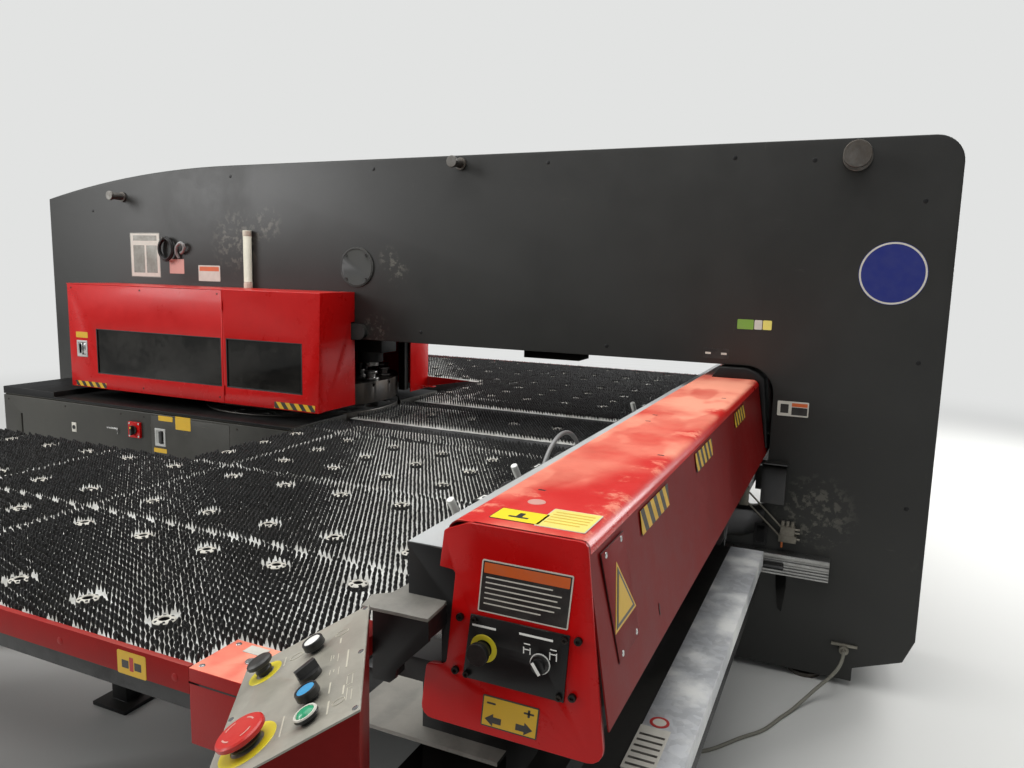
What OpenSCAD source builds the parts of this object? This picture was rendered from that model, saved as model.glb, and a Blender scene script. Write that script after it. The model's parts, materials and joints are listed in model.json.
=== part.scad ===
// Turret punch press with a bridge frame, brush tables and a travelling carriage.
// Millimetres. The origin is on the floor, straight below the punching point.
// X runs along the bridge frame from the turret to the post, Y runs away from the operator, Z is up.

/* [Frame] */
// Length of the bridge frame
frame_l = 5186; // [5000:10:5600]
// Distance from the punching point to the turret end of the frame
frame_left = 2305; // [2250:5:2500]
// Height of the frame
frame_h = 2300; // [2200:10:2500]
// Width of the frame over both side plates
frame_w = 550; // [500:10:640]
// Thickness of a side plate
plate_t = 40; // [25:1:60]
// Length of the crowned stretch at the turret end
crown_run = 1544; // [1000:10:1800]
// Drop of the crown at the turret end
crown_drop = 162; // [80:2:240]
// Radius of the frame's upper corner over the post
post_corner_r = 105; // [40:5:180]
// Height of the throat's ceiling
throat_top = 1362; // [1355:1:1420]
// Height of the throat's floor
throat_bottom = 600; // [590:1:602]
// Left side of the throat, left of the punching point
throat_left = 1100; // [1060:5:1200]
// Right side of the throat, right of the punching point
throat_right = 2250; // [2248:1:2290]
// Radius in the throat's corners
throat_corner_r = 118; // [60:1:120]
// Height of the levelling pads
pad_h = 30; // [20:1:60]

/* [Table] */
// Height of the sheet, at the tips of the brushes
pass_z = 950; // [945:1:966]
// Height of the table decks
deck_z = 920; // [905:1:930]
// Thickness of a deck sheet
deck_t = 20; // [10:1:25]
// Depth of the underframe below a deck
underframe_h = 60; // [40:1:80]
// Pitch of the brush rows
brush_pitch = 63; // [50:1:90]
// Width of the centre table from its turret side to its post side
centre_l = 1555; // [1400:5:1560]
// Half the width of the centre table across the frame
centre_half = 1400; // [1300:5:1450]
// Half the span over both wing tables
wing_half = 2660; // [2560:5:2700]
// Turret end of the wing tables
wing_left = -1600; // [-1700:10:-1200]
// Post end of the wing tables
wing_right = 1600; // [1500:5:1640]
// Depth of the red edge channels
channel_h = 60; // [50:1:80]

/* [Turret] */
// Radius of the turret discs
turret_r = 560; // [540:1:570]
// Radius of the outer ring of stations
station_ring_r = 480; // [440:1:490]
// Number of stations in each ring
station_count = 15; // [12:1:18]
// Bore of an outer station
station_r = 40; // [25:0.5:44]
// Bore of an inner station
inner_station_r = 22; // [12:0.5:26]
// Thickness of the lower disc
lower_disc_t = 77; // [60:1:90]
// Thickness of the upper disc
upper_disc_t = 118; // [80:1:130]
// Stroke of the striker
stroke = 31; // [20:1:40]
// Rise of the tool heads above the upper disc
tool_rise = 50; // [40:1:70]
// Running clearance on the turret shafts
shaft_gap = 0.05; // [0.02:0.01:0.1]
// Radius of the turret shafts
shaft_r = 60; // [45:1:75]

/* [Covers] */
// Left side of the turret cover
cover_left = -1735; // [-1760:5:-1650]
// Right side of the turret cover
cover_right = 88; // [86:1:110]
// How far the near cover's front flares past its right side
cover_flare = 34; // [20:1:40]
// How far the turret covers stand out of the frame
cover_out = 331; // [320:1:360]
// Underside of the turret covers
cover_bottom = 1003; // [1000:1:1030]
// Top of the turret covers
cover_top = 1614; // [1560:2:1700]
// Seam between the door and the fixed panel
door_seam = -527; // [-600:1:-450]
// Bottom edge of the windows
window_bottom = 1092; // [1070:1:1120]
// Top edge of the windows
window_top = 1355; // [1300:1:1450]
// Thickness of the red covers
sheet_t = 6; // [4:0.5:8]
// Running gap round doors and lids
door_gap = 0.6; // [0.4:0.1:0.9]
// Front face of the base cabinets
cabinet_front = 725; // [700:5:760]
// Top of the base cabinets
cabinet_top = 975; // [960:1:990]

/* [Carriage] */
// Travel of the carriage along the frame
y_travel = 1430; // [1200:5:1440]
// Top of the guide beam
beam_top = 1249; // [1230:1:1252]
// Underside of the guide beam
beam_bottom = 985; // [975:1:1000]
// Left side of the guide beam
beam_left = 1850; // [1840:1:1870]
// Width of the guide beam
beam_w = 265; // [240:1:280]
// Top of the red carriage cover
shell_top = 1307; // [1295:1:1315]
// Underside of the end plates
end_plate_bottom = 922; // [915:1:940]
// Top of the cable tray
tray_top = 700; // [690:1:720]
// Width of the cable tray
tray_w = 123; // [100:1:140]
// Top of the guide rails on the side plates
rail_top = 563; // [550:1:570]
// Height of the guide rails
rail_h = 93; // [80:1:100]
// How far the rails stand out of the side plates
rail_out = 60; // [50:1:70]

/* [Operator panel] */
// Turn of the operator panel about the vertical
panel_turn = 32.5; // [25:0.5:40]
// Slope of the operator panel
panel_slope = 28; // [20:0.5:35]
// Length of the operator panel
panel_l = 300; // [290:2:340]
// Width of the operator panel
panel_w = 215; // [210:1:240]
// Radius of a push button's bezel
bezel_r = 17; // [15:0.5:18]
// Travel of a push button
button_travel = 5; // [3:0.5:6]

/* [Hidden] */
$fn = 48;
eps = 0.3;
frame_right = frame_l - frame_left;
half_w = frame_w / 2;
core_half = half_w - plate_t;
crown_r = (crown_run * crown_run + crown_drop * crown_drop) / (2 * crown_drop);
crown_x = crown_run - frame_left;
toe_w = 228;
toe_rise = 90;
toe_bevel = 40;
core_inset = 50;
turret_x = -station_ring_r;
lower_top = pass_z - 3;
lower_bottom = lower_top - lower_disc_t;
upper_bottom = pass_z + 36;
upper_top = upper_bottom + upper_disc_t;
inner_ring_r = station_ring_r - 110;
rim_bolts = 22;
hub_r = 2 * shaft_r;
tool_top = upper_top + tool_rise;
striker_r = 45;
striker_bottom = tool_top + stroke + 1;
bearing_r = 170;
shaft_in = 38;
front_y = -half_w - cover_out;
far_side_x = 100;
far_side_y = half_w + 210;
underside_z = deck_z - deck_t - underframe_h;
centre_left = 45;
centre_right = centre_left + centre_l;
slot_in = half_w + 10;
slot_out = half_w + 135;
brush_foot = 6;
brush_head = 20;
turret_clear = 12;
beam_inset = 85;
beam_half = wing_half - beam_inset;
shelf_z = pass_z + 202;
shell_left = beam_left + 76;
shell_lower_right = 2240;
shell_upper_right = 2196;
arm_w = 80;
beam_z0 = 610;
beam_z1 = 760;
tray_end = 722;
rail_left = beam_left - y_travel - 170;
rail_right = frame_right - 350;
clamp_pitch_1 = -1740;
clamp_pitch_2 = -1310;
clamp_pitch_3 = 120;
clamp_ys = [clamp_pitch_1, clamp_pitch_2, clamp_pitch_3];
clamp_tip_x = 1532;
clamp_pivot_x = 1660;
clamp_pivot_z = pass_z + 62;
slide_left = 1700;
panel_c = [beam_left + 40, -beam_half - 354, 1160];
panel_depth = 330;
panel_places = [[23, 87], [23, 6], [31, -58], [34, -108], [-65, 101], [-55, -89]];
control_plate_x = 1972;
control_plate_z = 1022;
control_places = [[38, 63], [145, 60]];
corner_left = 1392;
corner_back = wing_half - 136;
corner_right = 1690;
hinge_corner_r = 2;
cabinet_hinge_r = 1.2;
cabinet_door_left = -949;
cabinet_door_right = -381;
cabinet_door_bottom = 120;
cabinet_recess = 30;
post_xs = [-1000, 0];
socket_x = frame_right - 266;

// Frame outline in the XZ plane, drawn in by a set amount all round
module frame_outline(inset) {
    intersection() {
        union() {
            translate([crown_x, pad_h + inset])
                square([frame_right - crown_x - inset, frame_h - pad_h - 2 * inset]);
            intersection() {
                translate([-frame_left + inset, pad_h + inset])
                    square([crown_run, frame_h - pad_h - 2 * inset]);
                translate([crown_x, frame_h - crown_r])
                    circle(r = crown_r - inset, $fn = 720);
            }
        }
        toe_limits(inset);
    }
}

// Everything but the raised toes at both lower ends and the rounded upper corner
module toe_limits(inset) {
    difference() {
        translate([-frame_left - 1, 0])
            square([frame_l + 2, frame_h]);
        for (side = [0, 1])
            translate([side * (frame_right - frame_left), 0])
                mirror([1 - side, 0])
                    polygon([[frame_left - toe_w, -1], [frame_left - toe_w, toe_rise + inset],
                        [frame_left - toe_bevel - inset, toe_rise + 70 + inset],
                        [frame_left - inset, toe_rise + 170 + inset], [frame_left + 2,
                            toe_rise + 170 + inset],
                        [frame_left + 2, -1]]);
        translate([frame_right - post_corner_r, frame_h - post_corner_r])
            difference() {
                square([post_corner_r + 1, post_corner_r + 1]);
                circle(r = post_corner_r - inset, $fn = 96);
            }
    }
}

// The throat, with rounded corners, grown by a set amount
module throat_outline(grow) {
    r = throat_corner_r;
    x0 = -throat_left - grow;
    x1 = throat_right + grow;
    z0 = throat_bottom - grow;
    z1 = throat_top + grow;
    translate([x0 + r, z0]) square([x1 - x0 - 2 * r, z1 - z0]);
    translate([x0, z0 + r]) square([x1 - x0, z1 - z0 - 2 * r]);
    for (x = [x0 + r, x1 - r])
        for (z = [z0 + r, z1 - r])
            translate([x, z]) circle(r = r, $fn = 96);
}

// Stands an XZ outline up as a slab from y to y + t
module slab(y, t) {
    translate([0, y + t, 0]) rotate([90, 0, 0]) linear_extrude(t) children();
}

// Bolt with a hexagon socket head, along -Y from its seat
module socket_screw_y(r, h) {
    rotate([90, 0, 0]) difference() {
        cylinder(r = r, h = h, $fn = 24);
        translate([0, 0, h / 2]) cylinder(r = r * 0.55, h = h, $fn = 6);
    }
}

module side_plate(y) {
    color([0.13, 0.13, 0.14]) slab(y, plate_t) difference() {
        frame_outline(0);
        throat_outline(0);
    }
}

module near_side_plate() { side_plate(-half_w); }
module far_side_plate() { side_plate(core_half); }

// Welded box of the bridge beam, between the plates and above the throat
module beam_box() {
    color([0.11, 0.11, 0.12]) slab(-core_half, 2 * core_half) intersection() {
        frame_outline(core_inset);
        translate([-frame_left, throat_top + 20]) square([frame_l, frame_h]);
    }
}

// Welded box of both columns and the bed, between the plates
module lower_frame_box() {
    color([0.11, 0.11, 0.12]) slab(-core_half, 2 * core_half) difference() {
        intersection() {
            frame_outline(0);
            translate([-frame_left + core_inset, pad_h])
                square([frame_l - 2 * core_inset, throat_top + 20 - pad_h]);
        }
        throat_outline(20);
        translate([-throat_left, throat_top]) square([throat_left + throat_right, 30]);
    }
}

module levelling_pads() {
    pad_r = 70;
    color([0.35, 0.35, 0.36])
        for (x = [-frame_left + 500, 0, 1300, frame_right - 420])
            for (y = (x == 0 ? [-half_w + 75, 0, half_w - 75] : [-half_w + 75, half_w - 75]))
                translate([x, y, 0]) {
                    cylinder(r = pad_r, h = pad_h * 0.6);
                    translate([0, 0, pad_h * 0.6]) cylinder(r = pad_r * 0.6, h = pad_h * 0.4);
                }
}

// Lifting bollard: base ring, shaft and retaining flange, pointing out along -Y
module lifting_pin(r) {
    rotate([90, 0, 0]) {
        cylinder(r = r, h = 12);
        cylinder(r = r * 0.7, h = 96);
        translate([0, 0, 84]) cylinder(r = r * 0.94, h = 16);
    }
}

module lifting_pins() {
    color([0.3, 0.3, 0.31])
        for (p = [[-frame_left + 678, frame_h - 160, 30], [721, frame_h - 42, 30],
            [frame_right - 375, frame_h - 75, 56]]) {
            translate([p[0], -half_w, p[1]]) lifting_pin(p[2]);
            mirror([0, 1, 0]) translate([p[0], -half_w, p[1]]) lifting_pin(p[2]);
        }
}

// Plates and boxes screwed to the near side plate
module side_brackets() {
    color([0.12, 0.12, 0.13]) {
        translate([104, -half_w, frame_h - 553]) rotate([90, 0, 0]) difference() {
            cylinder(r = 105, h = 8, $fn = 72);
            for (a = [45:90:315]) rotate(a) translate([88, 0, 4]) cylinder(r = 5, h = 5, $fn = 16);
        }
        translate([throat_right - 17, -half_w - 50, 780]) cube([99, 50, 172]);
        translate([throat_right - 25, -half_w - 58, 952]) cube([110, 58, 5]);
        translate([1034, -160, throat_top - 46]) cube([293, 150, 66]);
        translate([40, half_w - plate_t, upper_bottom + 30]) cube([44, plate_t,
            throat_top - upper_bottom - 30]);
        slab(-half_w - 30, 30) {
            translate([60, throat_top]) square([68, 84]);
            translate([128, throat_top + 42]) circle(r = 42);
        }
        slab(-half_w - 6, 6) translate([throat_right, 0])
            polygon([[67, 456], [109, 456], [112, 400], [100, 287], [84, 300], [70, 400]]);
        translate([throat_right - 36, -half_w - 14, 580]) difference() {
            cube([54, 14, 96]);
            translate([10, -1, 10]) cube([34, 10, 76]);
        }
    }
    color([0.85, 0.83, 0.75]) translate([-626, -half_w - 23, cover_top + eps]) {
        cylinder(r = 23, h = 322);
        for (z = [10, 280]) translate([-12, 0, z]) cube([24, 23, 20]);
    }
}

// Blocks that carry the turret shafts above and below the discs
module turret_bearings() {
    color([0.2, 0.2, 0.21]) {
        translate([turret_x, 0, throat_top - shaft_in]) difference() {
            cylinder(r = bearing_r, h = shaft_in + 20);
            translate([0, 0, -1]) cylinder(r = shaft_r + shaft_gap, h = shaft_in + 1);
        }
        translate([turret_x, 0, throat_bottom - 20]) difference() {
            cylinder(r = bearing_r, h = shaft_in + 20);
            translate([0, 0, 20]) cylinder(r = shaft_r + shaft_gap, h = shaft_in + 1);
        }
    }
}

// Guide of the striker above the punching point
module ram_housing() {
    color([0.22, 0.22, 0.23]) difference() {
        union() {
            translate([0, 0, striker_bottom + 24]) cylinder(r = 72,
                h = throat_top + 20 - striker_bottom - 24);
            translate([-75, -75, striker_bottom + 84]) cube([200, 150,
                throat_top + 20 - striker_bottom - 84]);
        }
        translate([0, 0, striker_bottom - 1]) cylinder(r = striker_r + 0.05,
            h = throat_top + 10 - striker_bottom);
    }
}

module striker() {
    color([0.7, 0.7, 0.7]) {
        translate([0, 0, striker_bottom]) cylinder(r = striker_r, h = throat_top - striker_bottom - 1);
        translate([0, 0, striker_bottom - 1]) cylinder(r = striker_r - 10, h = 1);
    }
}

module stations(h, z) {
    for (i = [0:station_count - 1])
        rotate(i * 360 / station_count) {
            translate([station_ring_r, 0, z]) cylinder(r = station_r, h = h, $fn = 32);
            rotate(180 / station_count) translate([inner_ring_r, 0, z]) cylinder(r = inner_station_r,
                h = h, $fn = 24);
        }
}

module upper_turret() {
    color([0.25, 0.25, 0.26]) translate([turret_x, 0, 0]) difference() {
        union() {
            translate([0, 0, upper_bottom]) cylinder(r = turret_r, h = upper_disc_t, $fn = 144);
            translate([0, 0, upper_top]) cylinder(r = hub_r + 60, h = 60);
            translate([0, 0, upper_top]) cylinder(r = hub_r, h = throat_top - shaft_in - eps - upper_top);
            translate([0, 0, throat_top - shaft_in - 1]) cylinder(r = shaft_r, h = shaft_in - 4);
        }
        stations(upper_disc_t + 2, upper_bottom - 1);
        rim_holes(upper_top - 20);
    }
}

// Blind bolt holes round a disc's rim
module rim_holes(z) {
    for (i = [0:rim_bolts - 1])
        rotate((i + 0.5) * 360 / rim_bolts) translate([turret_r - 12, 0, z]) rotate([0, 90, 0])
            cylinder(r = 9, h = 14, $fn = 16);
}

module lower_turret() {
    color([0.28, 0.28, 0.29]) translate([turret_x, 0, 0]) difference() {
        union() {
            translate([0, 0, lower_bottom]) cylinder(r = turret_r, h = lower_disc_t, $fn = 144);
            translate([0, 0, throat_bottom + shaft_in + eps])
                cylinder(r = hub_r, h = lower_bottom - throat_bottom - shaft_in - eps);
            translate([0, 0, throat_bottom + 4]) cylinder(r = shaft_r, h = shaft_in);
        }
        stations(lower_disc_t + 2, lower_bottom - 1);
    }
}

// Punch holders seated in the upper disc, with the outer station at the punching point left free
module punch_tools() {
    color([0.6, 0.6, 0.62]) translate([turret_x, 0, 0])
        for (i = [0:station_count - 1])
            rotate(i * 360 / station_count) {
                translate([station_ring_r, 0, 0]) tool_stack(station_r, upper_bottom + 8, upper_top,
                    tool_rise, 8);
                rotate(180 / station_count)
                    translate([inner_ring_r, 0, 0]) tool_stack(inner_station_r, upper_bottom + 8,
                        upper_top, tool_rise - 6, 5);
            }
}

// Holder with a guide body, a collar on the disc and a head
module tool_stack(r, z0, z1, rise, lip) {
    translate([0, 0, z0]) cylinder(r = r - 0.03, h = z1 - z0, $fn = 32);
    translate([0, 0, z1]) cylinder(r = r + lip, h = 12, $fn = 32);
    translate([0, 0, z1 + 12]) cylinder(r = r * 0.7, h = rise - 26, $fn = 32);
    translate([0, 0, z1 + rise - 14]) cylinder(r = r * 0.95, h = 14, $fn = 32);
}

// Dies in the lower disc: the station at the punching point stays empty as the tool seat
module die_tools() {
    die_h = 30;
    color([0.55, 0.55, 0.57]) translate([turret_x, 0, lower_top - die_h])
        for (i = [0:station_count - 1])
            rotate(i * 360 / station_count) {
                if (i > 0) translate([station_ring_r, 0, 0]) die(station_r, die_h);
                rotate(180 / station_count) translate([inner_ring_r, 0, 0]) die(inner_station_r, die_h);
            }
}

module die(r, h) {
    difference() {
        cylinder(r = r - 0.03, h = h, $fn = 32);
        translate([0, 0, -1]) cylinder(r = r * 0.45, h = h + 2, $fn = 24);
    }
}

// Red sheet cover round the turret, open to the frame and below, with a window in its fixed front
module near_turret_cover() {
    color([0.72, 0.03, 0.04]) difference() {
        cover_body(0);
        difference() {
            cover_body(sheet_t);
            translate([cover_left - 1, -half_w + 1, cover_bottom - 2]) cube([3000, 200, 900]);
        }
        translate([cover_left, front_y - 1, cover_bottom - 1])
            cube([door_seam + door_gap - cover_left, sheet_t + 1, cover_top - sheet_t - cover_bottom + 1]);
        window_opening(door_seam + 22, 0);
        translate([cover_right - 10, -half_w - 34, throat_top - 4]) cube([60, 40, 96]);
    }
}

// Solid body of the near cover, drawn in by a set amount, with a slanted fold at its front right corner
module cover_body(i) {
    low = i == 0 ? 0 : 1;
    translate([cover_left + i, front_y + i, cover_bottom - low])
        cube([cover_right - cover_left - 2 * i, cover_out - i, cover_top - cover_bottom - i + low]);
    difference() {
        translate([cover_right - i - 40, front_y + i, cover_bottom - low])
            cube([cover_flare + 50, cover_out - i - 60, cover_top - cover_bottom - i + low]);
        translate([cover_right - i, -435, cover_top]) rotate([0, 1.63, 10]) translate([0, -600, -1200])
            cube([300, 1200, 2400]);
    }
}

module window_opening(x0, x1) {
    translate([x0, front_y - 1, window_bottom])
        cube([x1 - x0, sheet_t + 2, window_top - window_bottom]);
}

module fixed_window() {
    color([0.05, 0.05, 0.05, 0.8])
        translate([door_seam + 12, front_y + sheet_t, window_bottom - 12])
            cube([-door_seam, 4, window_top - window_bottom + 24]);
}

// Cover on the far side of the frame, with a pointed low guard at its throat end
module far_turret_cover() {
    color([0.72, 0.03, 0.04]) {
        translate([0, 0, cover_bottom]) linear_extrude(cover_top - cover_bottom - sheet_t) difference() {
            far_plan(0);
            far_plan(sheet_t);
        }
        translate([0, 0, cover_top - sheet_t]) linear_extrude(sheet_t) far_plan(0);
        slab(far_side_y - sheet_t, sheet_t) polygon([[far_side_x, cover_bottom + 9], [far_side_x,
            cover_bottom + 73],
            [far_side_x + 300, cover_bottom + 65]]);
        slab(far_side_y - 46, 46) polygon([[far_side_x - sheet_t, cover_bottom + 9], [far_side_x + 60,
            cover_bottom + 9],
            [far_side_x + 60, cover_bottom + 15], [far_side_x - sheet_t, cover_bottom + 15]]);
    }
}

// Plan of the far cover, drawn in by a set amount and open towards the frame
module far_plan(i) {
    polygon([[cover_left + i, half_w - i], [cover_left + i, -front_y - i], [-20 - i * 0.4, -front_y - i],
        [far_side_x - i, far_side_y - i * 0.4], [far_side_x - i, half_w - i]]);
}

module turret_door() {
    x0 = cover_left + sheet_t + door_gap;
    pull_x = cover_left + 68;
    color([0.72, 0.03, 0.04]) difference() {
        translate([0, 0, cover_bottom]) linear_extrude(cover_top - cover_bottom - sheet_t - door_gap)
            door_plan(x0, door_seam, front_y, sheet_t, hinge_corner_r);
        window_opening(cover_left + 234, door_seam - 13);
        translate([pull_x + 8, front_y - 1, 1191]) cube([71, sheet_t + 2, 80]);
    }
    color([0.5, 0.5, 0.5]) translate([pull_x, front_y, 1183]) recessed_pull(87, 96);
}

// Plan of a door, with its front right corner rounded about the hinge axis
module door_plan(x0, x1, y, t, r) {
    translate([x0, y]) square([x1 - r - x0, t]);
    translate([x1 - r, y + r]) square([r, t - r]);
    translate([x1 - r, y + r]) circle(r = r);
}

// Recessed pull: bezel in front of the sheet and a shallow cup behind it, growing along -Y and +Y
module recessed_pull(w, h) {
    difference() {
        union() {
            translate([0, -3, 0]) cube([w, 3, h]);
            translate([8, 0, 8]) cube([w - 16, 24, h - 16]);
        }
        translate([12, -4, 12]) cube([w - 24, 26, h - 24]);
    }
    translate([12, -1, 12]) cube([(w - 24) * 0.4, 4, h - 24]);
}

module door_window() {
    color([0.05, 0.05, 0.05, 0.8])
        translate([cover_left + 224, front_y + sheet_t, window_bottom - 12])
            cube([door_seam - 5 - cover_left - 224, 4, window_top - window_bottom + 24]);
}

// Base cabinet beside the turret with its recess for the door and the lower disc
module base_cabinet_shape() {
    x0 = cover_left - 460;
    x1 = 30;
    difference() {
        union() {
            translate([x0, -cabinet_front, 0]) cube([x1 - x0, cabinet_front - half_w, cabinet_top - 30]);
            translate([x0, -cabinet_front, cabinet_top - 31]) cube([460, cabinet_front - half_w, 31]);
        }
        translate([turret_x, 0, lower_bottom - 15])
            cylinder(r = turret_r + turret_clear, h = 200, $fn = 144);
        translate([x0 - 1, -cabinet_front - 1, -1]) cube([x1 - x0 + 2, 61, 91]);
        translate([cabinet_door_left, -cabinet_front - 1, cabinet_door_bottom])
            cube([cabinet_door_right - cabinet_door_left, cabinet_recess + 1,
                cabinet_top - 60 - cabinet_door_bottom]);
        translate([x0 - 1, -cabinet_front - 1, cabinet_top - 50])
            cube([x1 - x0 + 2, 13, 6]);
        translate([x0 + 150, -cabinet_front - 1, 701]) cube([14, 13, 119]);
    }
}

module near_base_cabinet() { color([0.14, 0.14, 0.15]) base_cabinet_shape(); }

module far_base_cabinet() {
    color([0.14, 0.14, 0.15]) mirror([0, 1, 0]) {
        base_cabinet_shape();
        translate([cabinet_door_left + eps, -cabinet_front, cabinet_door_bottom + eps])
            cube([cabinet_door_right - cabinet_door_left - 2 * eps, cabinet_recess,
                cabinet_top - 60 - cabinet_door_bottom - 2 * eps]);
    }
}

module cabinet_door() {
    z0 = cabinet_door_bottom + door_gap;
    z1 = cabinet_top - 60 - door_gap;
    pull_x = cabinet_door_left + 32;
    color([0.15, 0.15, 0.16]) difference() {
        translate([0, 0, z0]) linear_extrude(z1 - z0) door_plan(cabinet_door_left + door_gap,
            cabinet_door_right - door_gap, -cabinet_front, cabinet_recess - door_gap, cabinet_hinge_r);
        translate([pull_x + 8, -cabinet_front - 1, 756]) cube([61, 26, 82]);
    }
    color([0.5, 0.5, 0.5]) translate([pull_x, -cabinet_front, 748]) recessed_pull(77, 98);
}

module breaker_box() {
    color([0.55, 0.05, 0.05]) translate([-1109, -cabinet_front - 14, 778]) difference() {
        cube([88, 14, 87]);
        for (x = [9, 79]) for (z = [9, 78])
            translate([x, -1, z]) rotate([-90, 0, 0]) cylinder(r = 3, h = 5, $fn = 16);
        translate([44, -1, 44]) rotate([-90, 0, 0]) cylinder(r = 10.05, h = 16);
    }
}

// Rotary handle with a spindle in the breaker box
module breaker_switch() {
    color([0.4, 0.04, 0.04]) translate([-1065, -cabinet_front, 822]) {
        rotate([90, 0, 0]) cylinder(r = 10, h = 15);
        translate([0, -14.4, 0]) rotate([90, 0, 0]) cylinder(r = 24, h = 8);
        translate([-7, -38, -26]) cube([14, 16, 52]);
    }
}

// Deck of a table: a thin sheet on a ribbed underframe
module deck(x0, x1, y0, y1) {
    color([0.78, 0.78, 0.76]) translate([x0, y0, deck_z - deck_t]) cube([x1 - x0, y1 - y0, deck_t]);
    rib_w = 40;
    n = max(1, round((x1 - x0) / 620));
    step = (x1 - x0 - rib_w) / n;
    color([0.2, 0.2, 0.2]) {
        for (i = [0:n])
            translate([x0 + i * step, y0, underside_z]) cube([rib_w, y1 - y0, underframe_h]);
        for (y = [y0, y1 - rib_w])
            translate([x0, y, underside_z]) cube([x1 - x0, rib_w, underframe_h]);
    }
}

module turret_clearance() {
    translate([turret_x, 0, 0]) cylinder(r = turret_r + turret_clear, h = frame_h, $fn = 144);
}

// Centre table: a middle section in the throat and two outer sections on brackets
module centre_table() {
    bracket_z = beam_z1 + 10;
    difference() {
        union() {
            deck(centre_left, centre_right, -slot_in + 20, slot_in - 20);
            for (s = [0, 1]) mirror([0, s, 0]) {
                deck(centre_left, centre_right, slot_out, centre_half);
                color([0.2, 0.2, 0.2]) for (y = [slot_out + 60, centre_half - 100])
                    translate([30, y, 0]) slab(0, 40)
                        polygon([[0, bracket_z], [0, underside_z], [1300, underside_z], [1300,
                            underside_z - 20]]);
                color([0.2, 0.2, 0.2]) translate([30, slot_out + 60, 0])
                    cube([90, centre_half - slot_out - 120, underside_z]);
            }
            color([0.2, 0.2, 0.2]) for (x = [160, 900, 1500])
                translate([x, -150, throat_bottom - 20]) cube([60, 300, underside_z - throat_bottom + 20]);
        }
        turret_clearance();
    }
}

// One row of bristle tufts along X, narrow at its foot and full at its head
module brush_row(x0, x1, y) {
    translate([x0, y, deck_z]) rotate([90, 0, 90]) linear_extrude(x1 - x0)
        polygon([[-brush_foot / 2, 0], [brush_foot / 2, 0], [brush_head / 2, 16], [brush_head / 2,
            pass_z - deck_z - 4],
            [brush_head / 4, pass_z - deck_z], [-brush_head / 4, pass_z - deck_z], [-brush_head / 2,
                pass_z - deck_z - 4],
            [-brush_head / 2, 16]]);
}

module brush_field(x0, x1, y0, y1) {
    n = floor((y1 - y0 - brush_head) / brush_pitch);
    step = (y1 - y0 - brush_head - 20) / n;
    for (i = [0:n]) brush_row(x0 + 12, x1 - 12, y0 + brush_head / 2 + 10 + i * step);
}

module centre_brushes() {
    color([0.03, 0.03, 0.03]) difference() {
        union() {
            brush_field(centre_left, centre_right, -slot_in + 20, slot_in - 20);
            for (s = [0, 1]) mirror([0, s, 0]) brush_field(centre_left, centre_right, slot_out,
                centre_half);
        }
        translate([turret_x, 0, 0]) cylinder(r = turret_r + 30, h = frame_h, $fn = 144);
    }
}

// Wing tables that travel with the carriage
module wing_decks() {
    for (s = [0, 1]) mirror([0, s, 0])
        difference() {
            union() {
                deck(wing_left, wing_right, -wing_half + 8, -centre_half - 2);
                color([0.2, 0.2, 0.2]) for (y = [-wing_half + 300, -centre_half - 340])
                    translate([wing_left + 20, y, beam_z1])
                        cube([beam_left - wing_left - 20, arm_w, underside_z - beam_z1 + 10]);
            }
            if (s == 0) translate([corner_left - eps, -wing_half - 1, deck_z - deck_t - underframe_h - 1])
                cube([1000, wing_half - corner_back + 1 + eps, 200]);
        }
}

module wing_brushes() {
    color([0.03, 0.03, 0.03])
        for (s = [0, 1]) mirror([0, s, 0]) difference() {
            brush_field(wing_left, wing_right, -wing_half + 8, -centre_half - 2);
            if (s == 0) translate([corner_left - 8, -wing_half - 1, deck_z - 1])
                cube([1000, wing_half - corner_back + 8, 200]);
        }
}

// Red folded channels along the outer edges of the wing tables
module wing_channels() {
    z1 = deck_z + 20;
    z0 = z1 - channel_h;
    color([0.7, 0.03, 0.04])
        for (s = [0, 1]) mirror([0, s, 0])
            translate([wing_left, 0, 0]) rotate([90, 0, 90])
                linear_extrude((s == 0 ? corner_left - eps : wing_right) - wing_left)
                    polygon([[-wing_half, z0], [-wing_half, z1], [-wing_half + 14, z1], [-wing_half + 14,
                        z1 - 3],
                        [-wing_half + 7.6, z1 - 3], [-wing_half + 7.6, z0]]);
}

// Floor posts with slide pads under the free end of each wing table
module wing_support_posts() {
    post_top = beam_z1 - eps;
    color([0.2, 0.2, 0.21])
        for (s = [0, 1]) mirror([0, s, 0])
            for (x = post_xs) for (y = [-wing_half + 300, -centre_half - 340]) {
                translate([x, y + arm_w / 2, 0]) {
                    translate([-90, -90, 0]) cube([180, 180, 16]);
                    translate([-40, -40, 16]) cube([80, 80, post_top - 36]);
                    translate([-90, -arm_w / 2 - 10, post_top - 20]) cube([180, arm_w + 20, 20]);
                }
            }
}

// Folded red box at the operator's corner of the near wing table
module corner_box() {
    z1 = deck_z + 18;
    color([0.7, 0.03, 0.04]) difference() {
        translate([corner_left, -wing_half, z1 - 165])
            cube([corner_right - corner_left, wing_half - corner_back, 165]);
        translate([corner_left + 4, -wing_half + 4, z1 - 166])
            cube([corner_right - corner_left - 8, wing_half - corner_back - 8, 162]);
        translate([corner_left + 95, -corner_back - 62, z1 - 5]) cylinder(r = 13.05, h = 10);
    }
}

// Locating block that rises beside the sheet for squaring it
module gauge_block() {
    z1 = deck_z + 18;
    color([0.75, 0.75, 0.75]) translate([corner_left + 95, -corner_back - 62, z1 - 50]) {
        cylinder(r = 13, h = 52);
        translate([0, 0, -6]) cylinder(r = 20, h = 12);
    }
}

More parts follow.
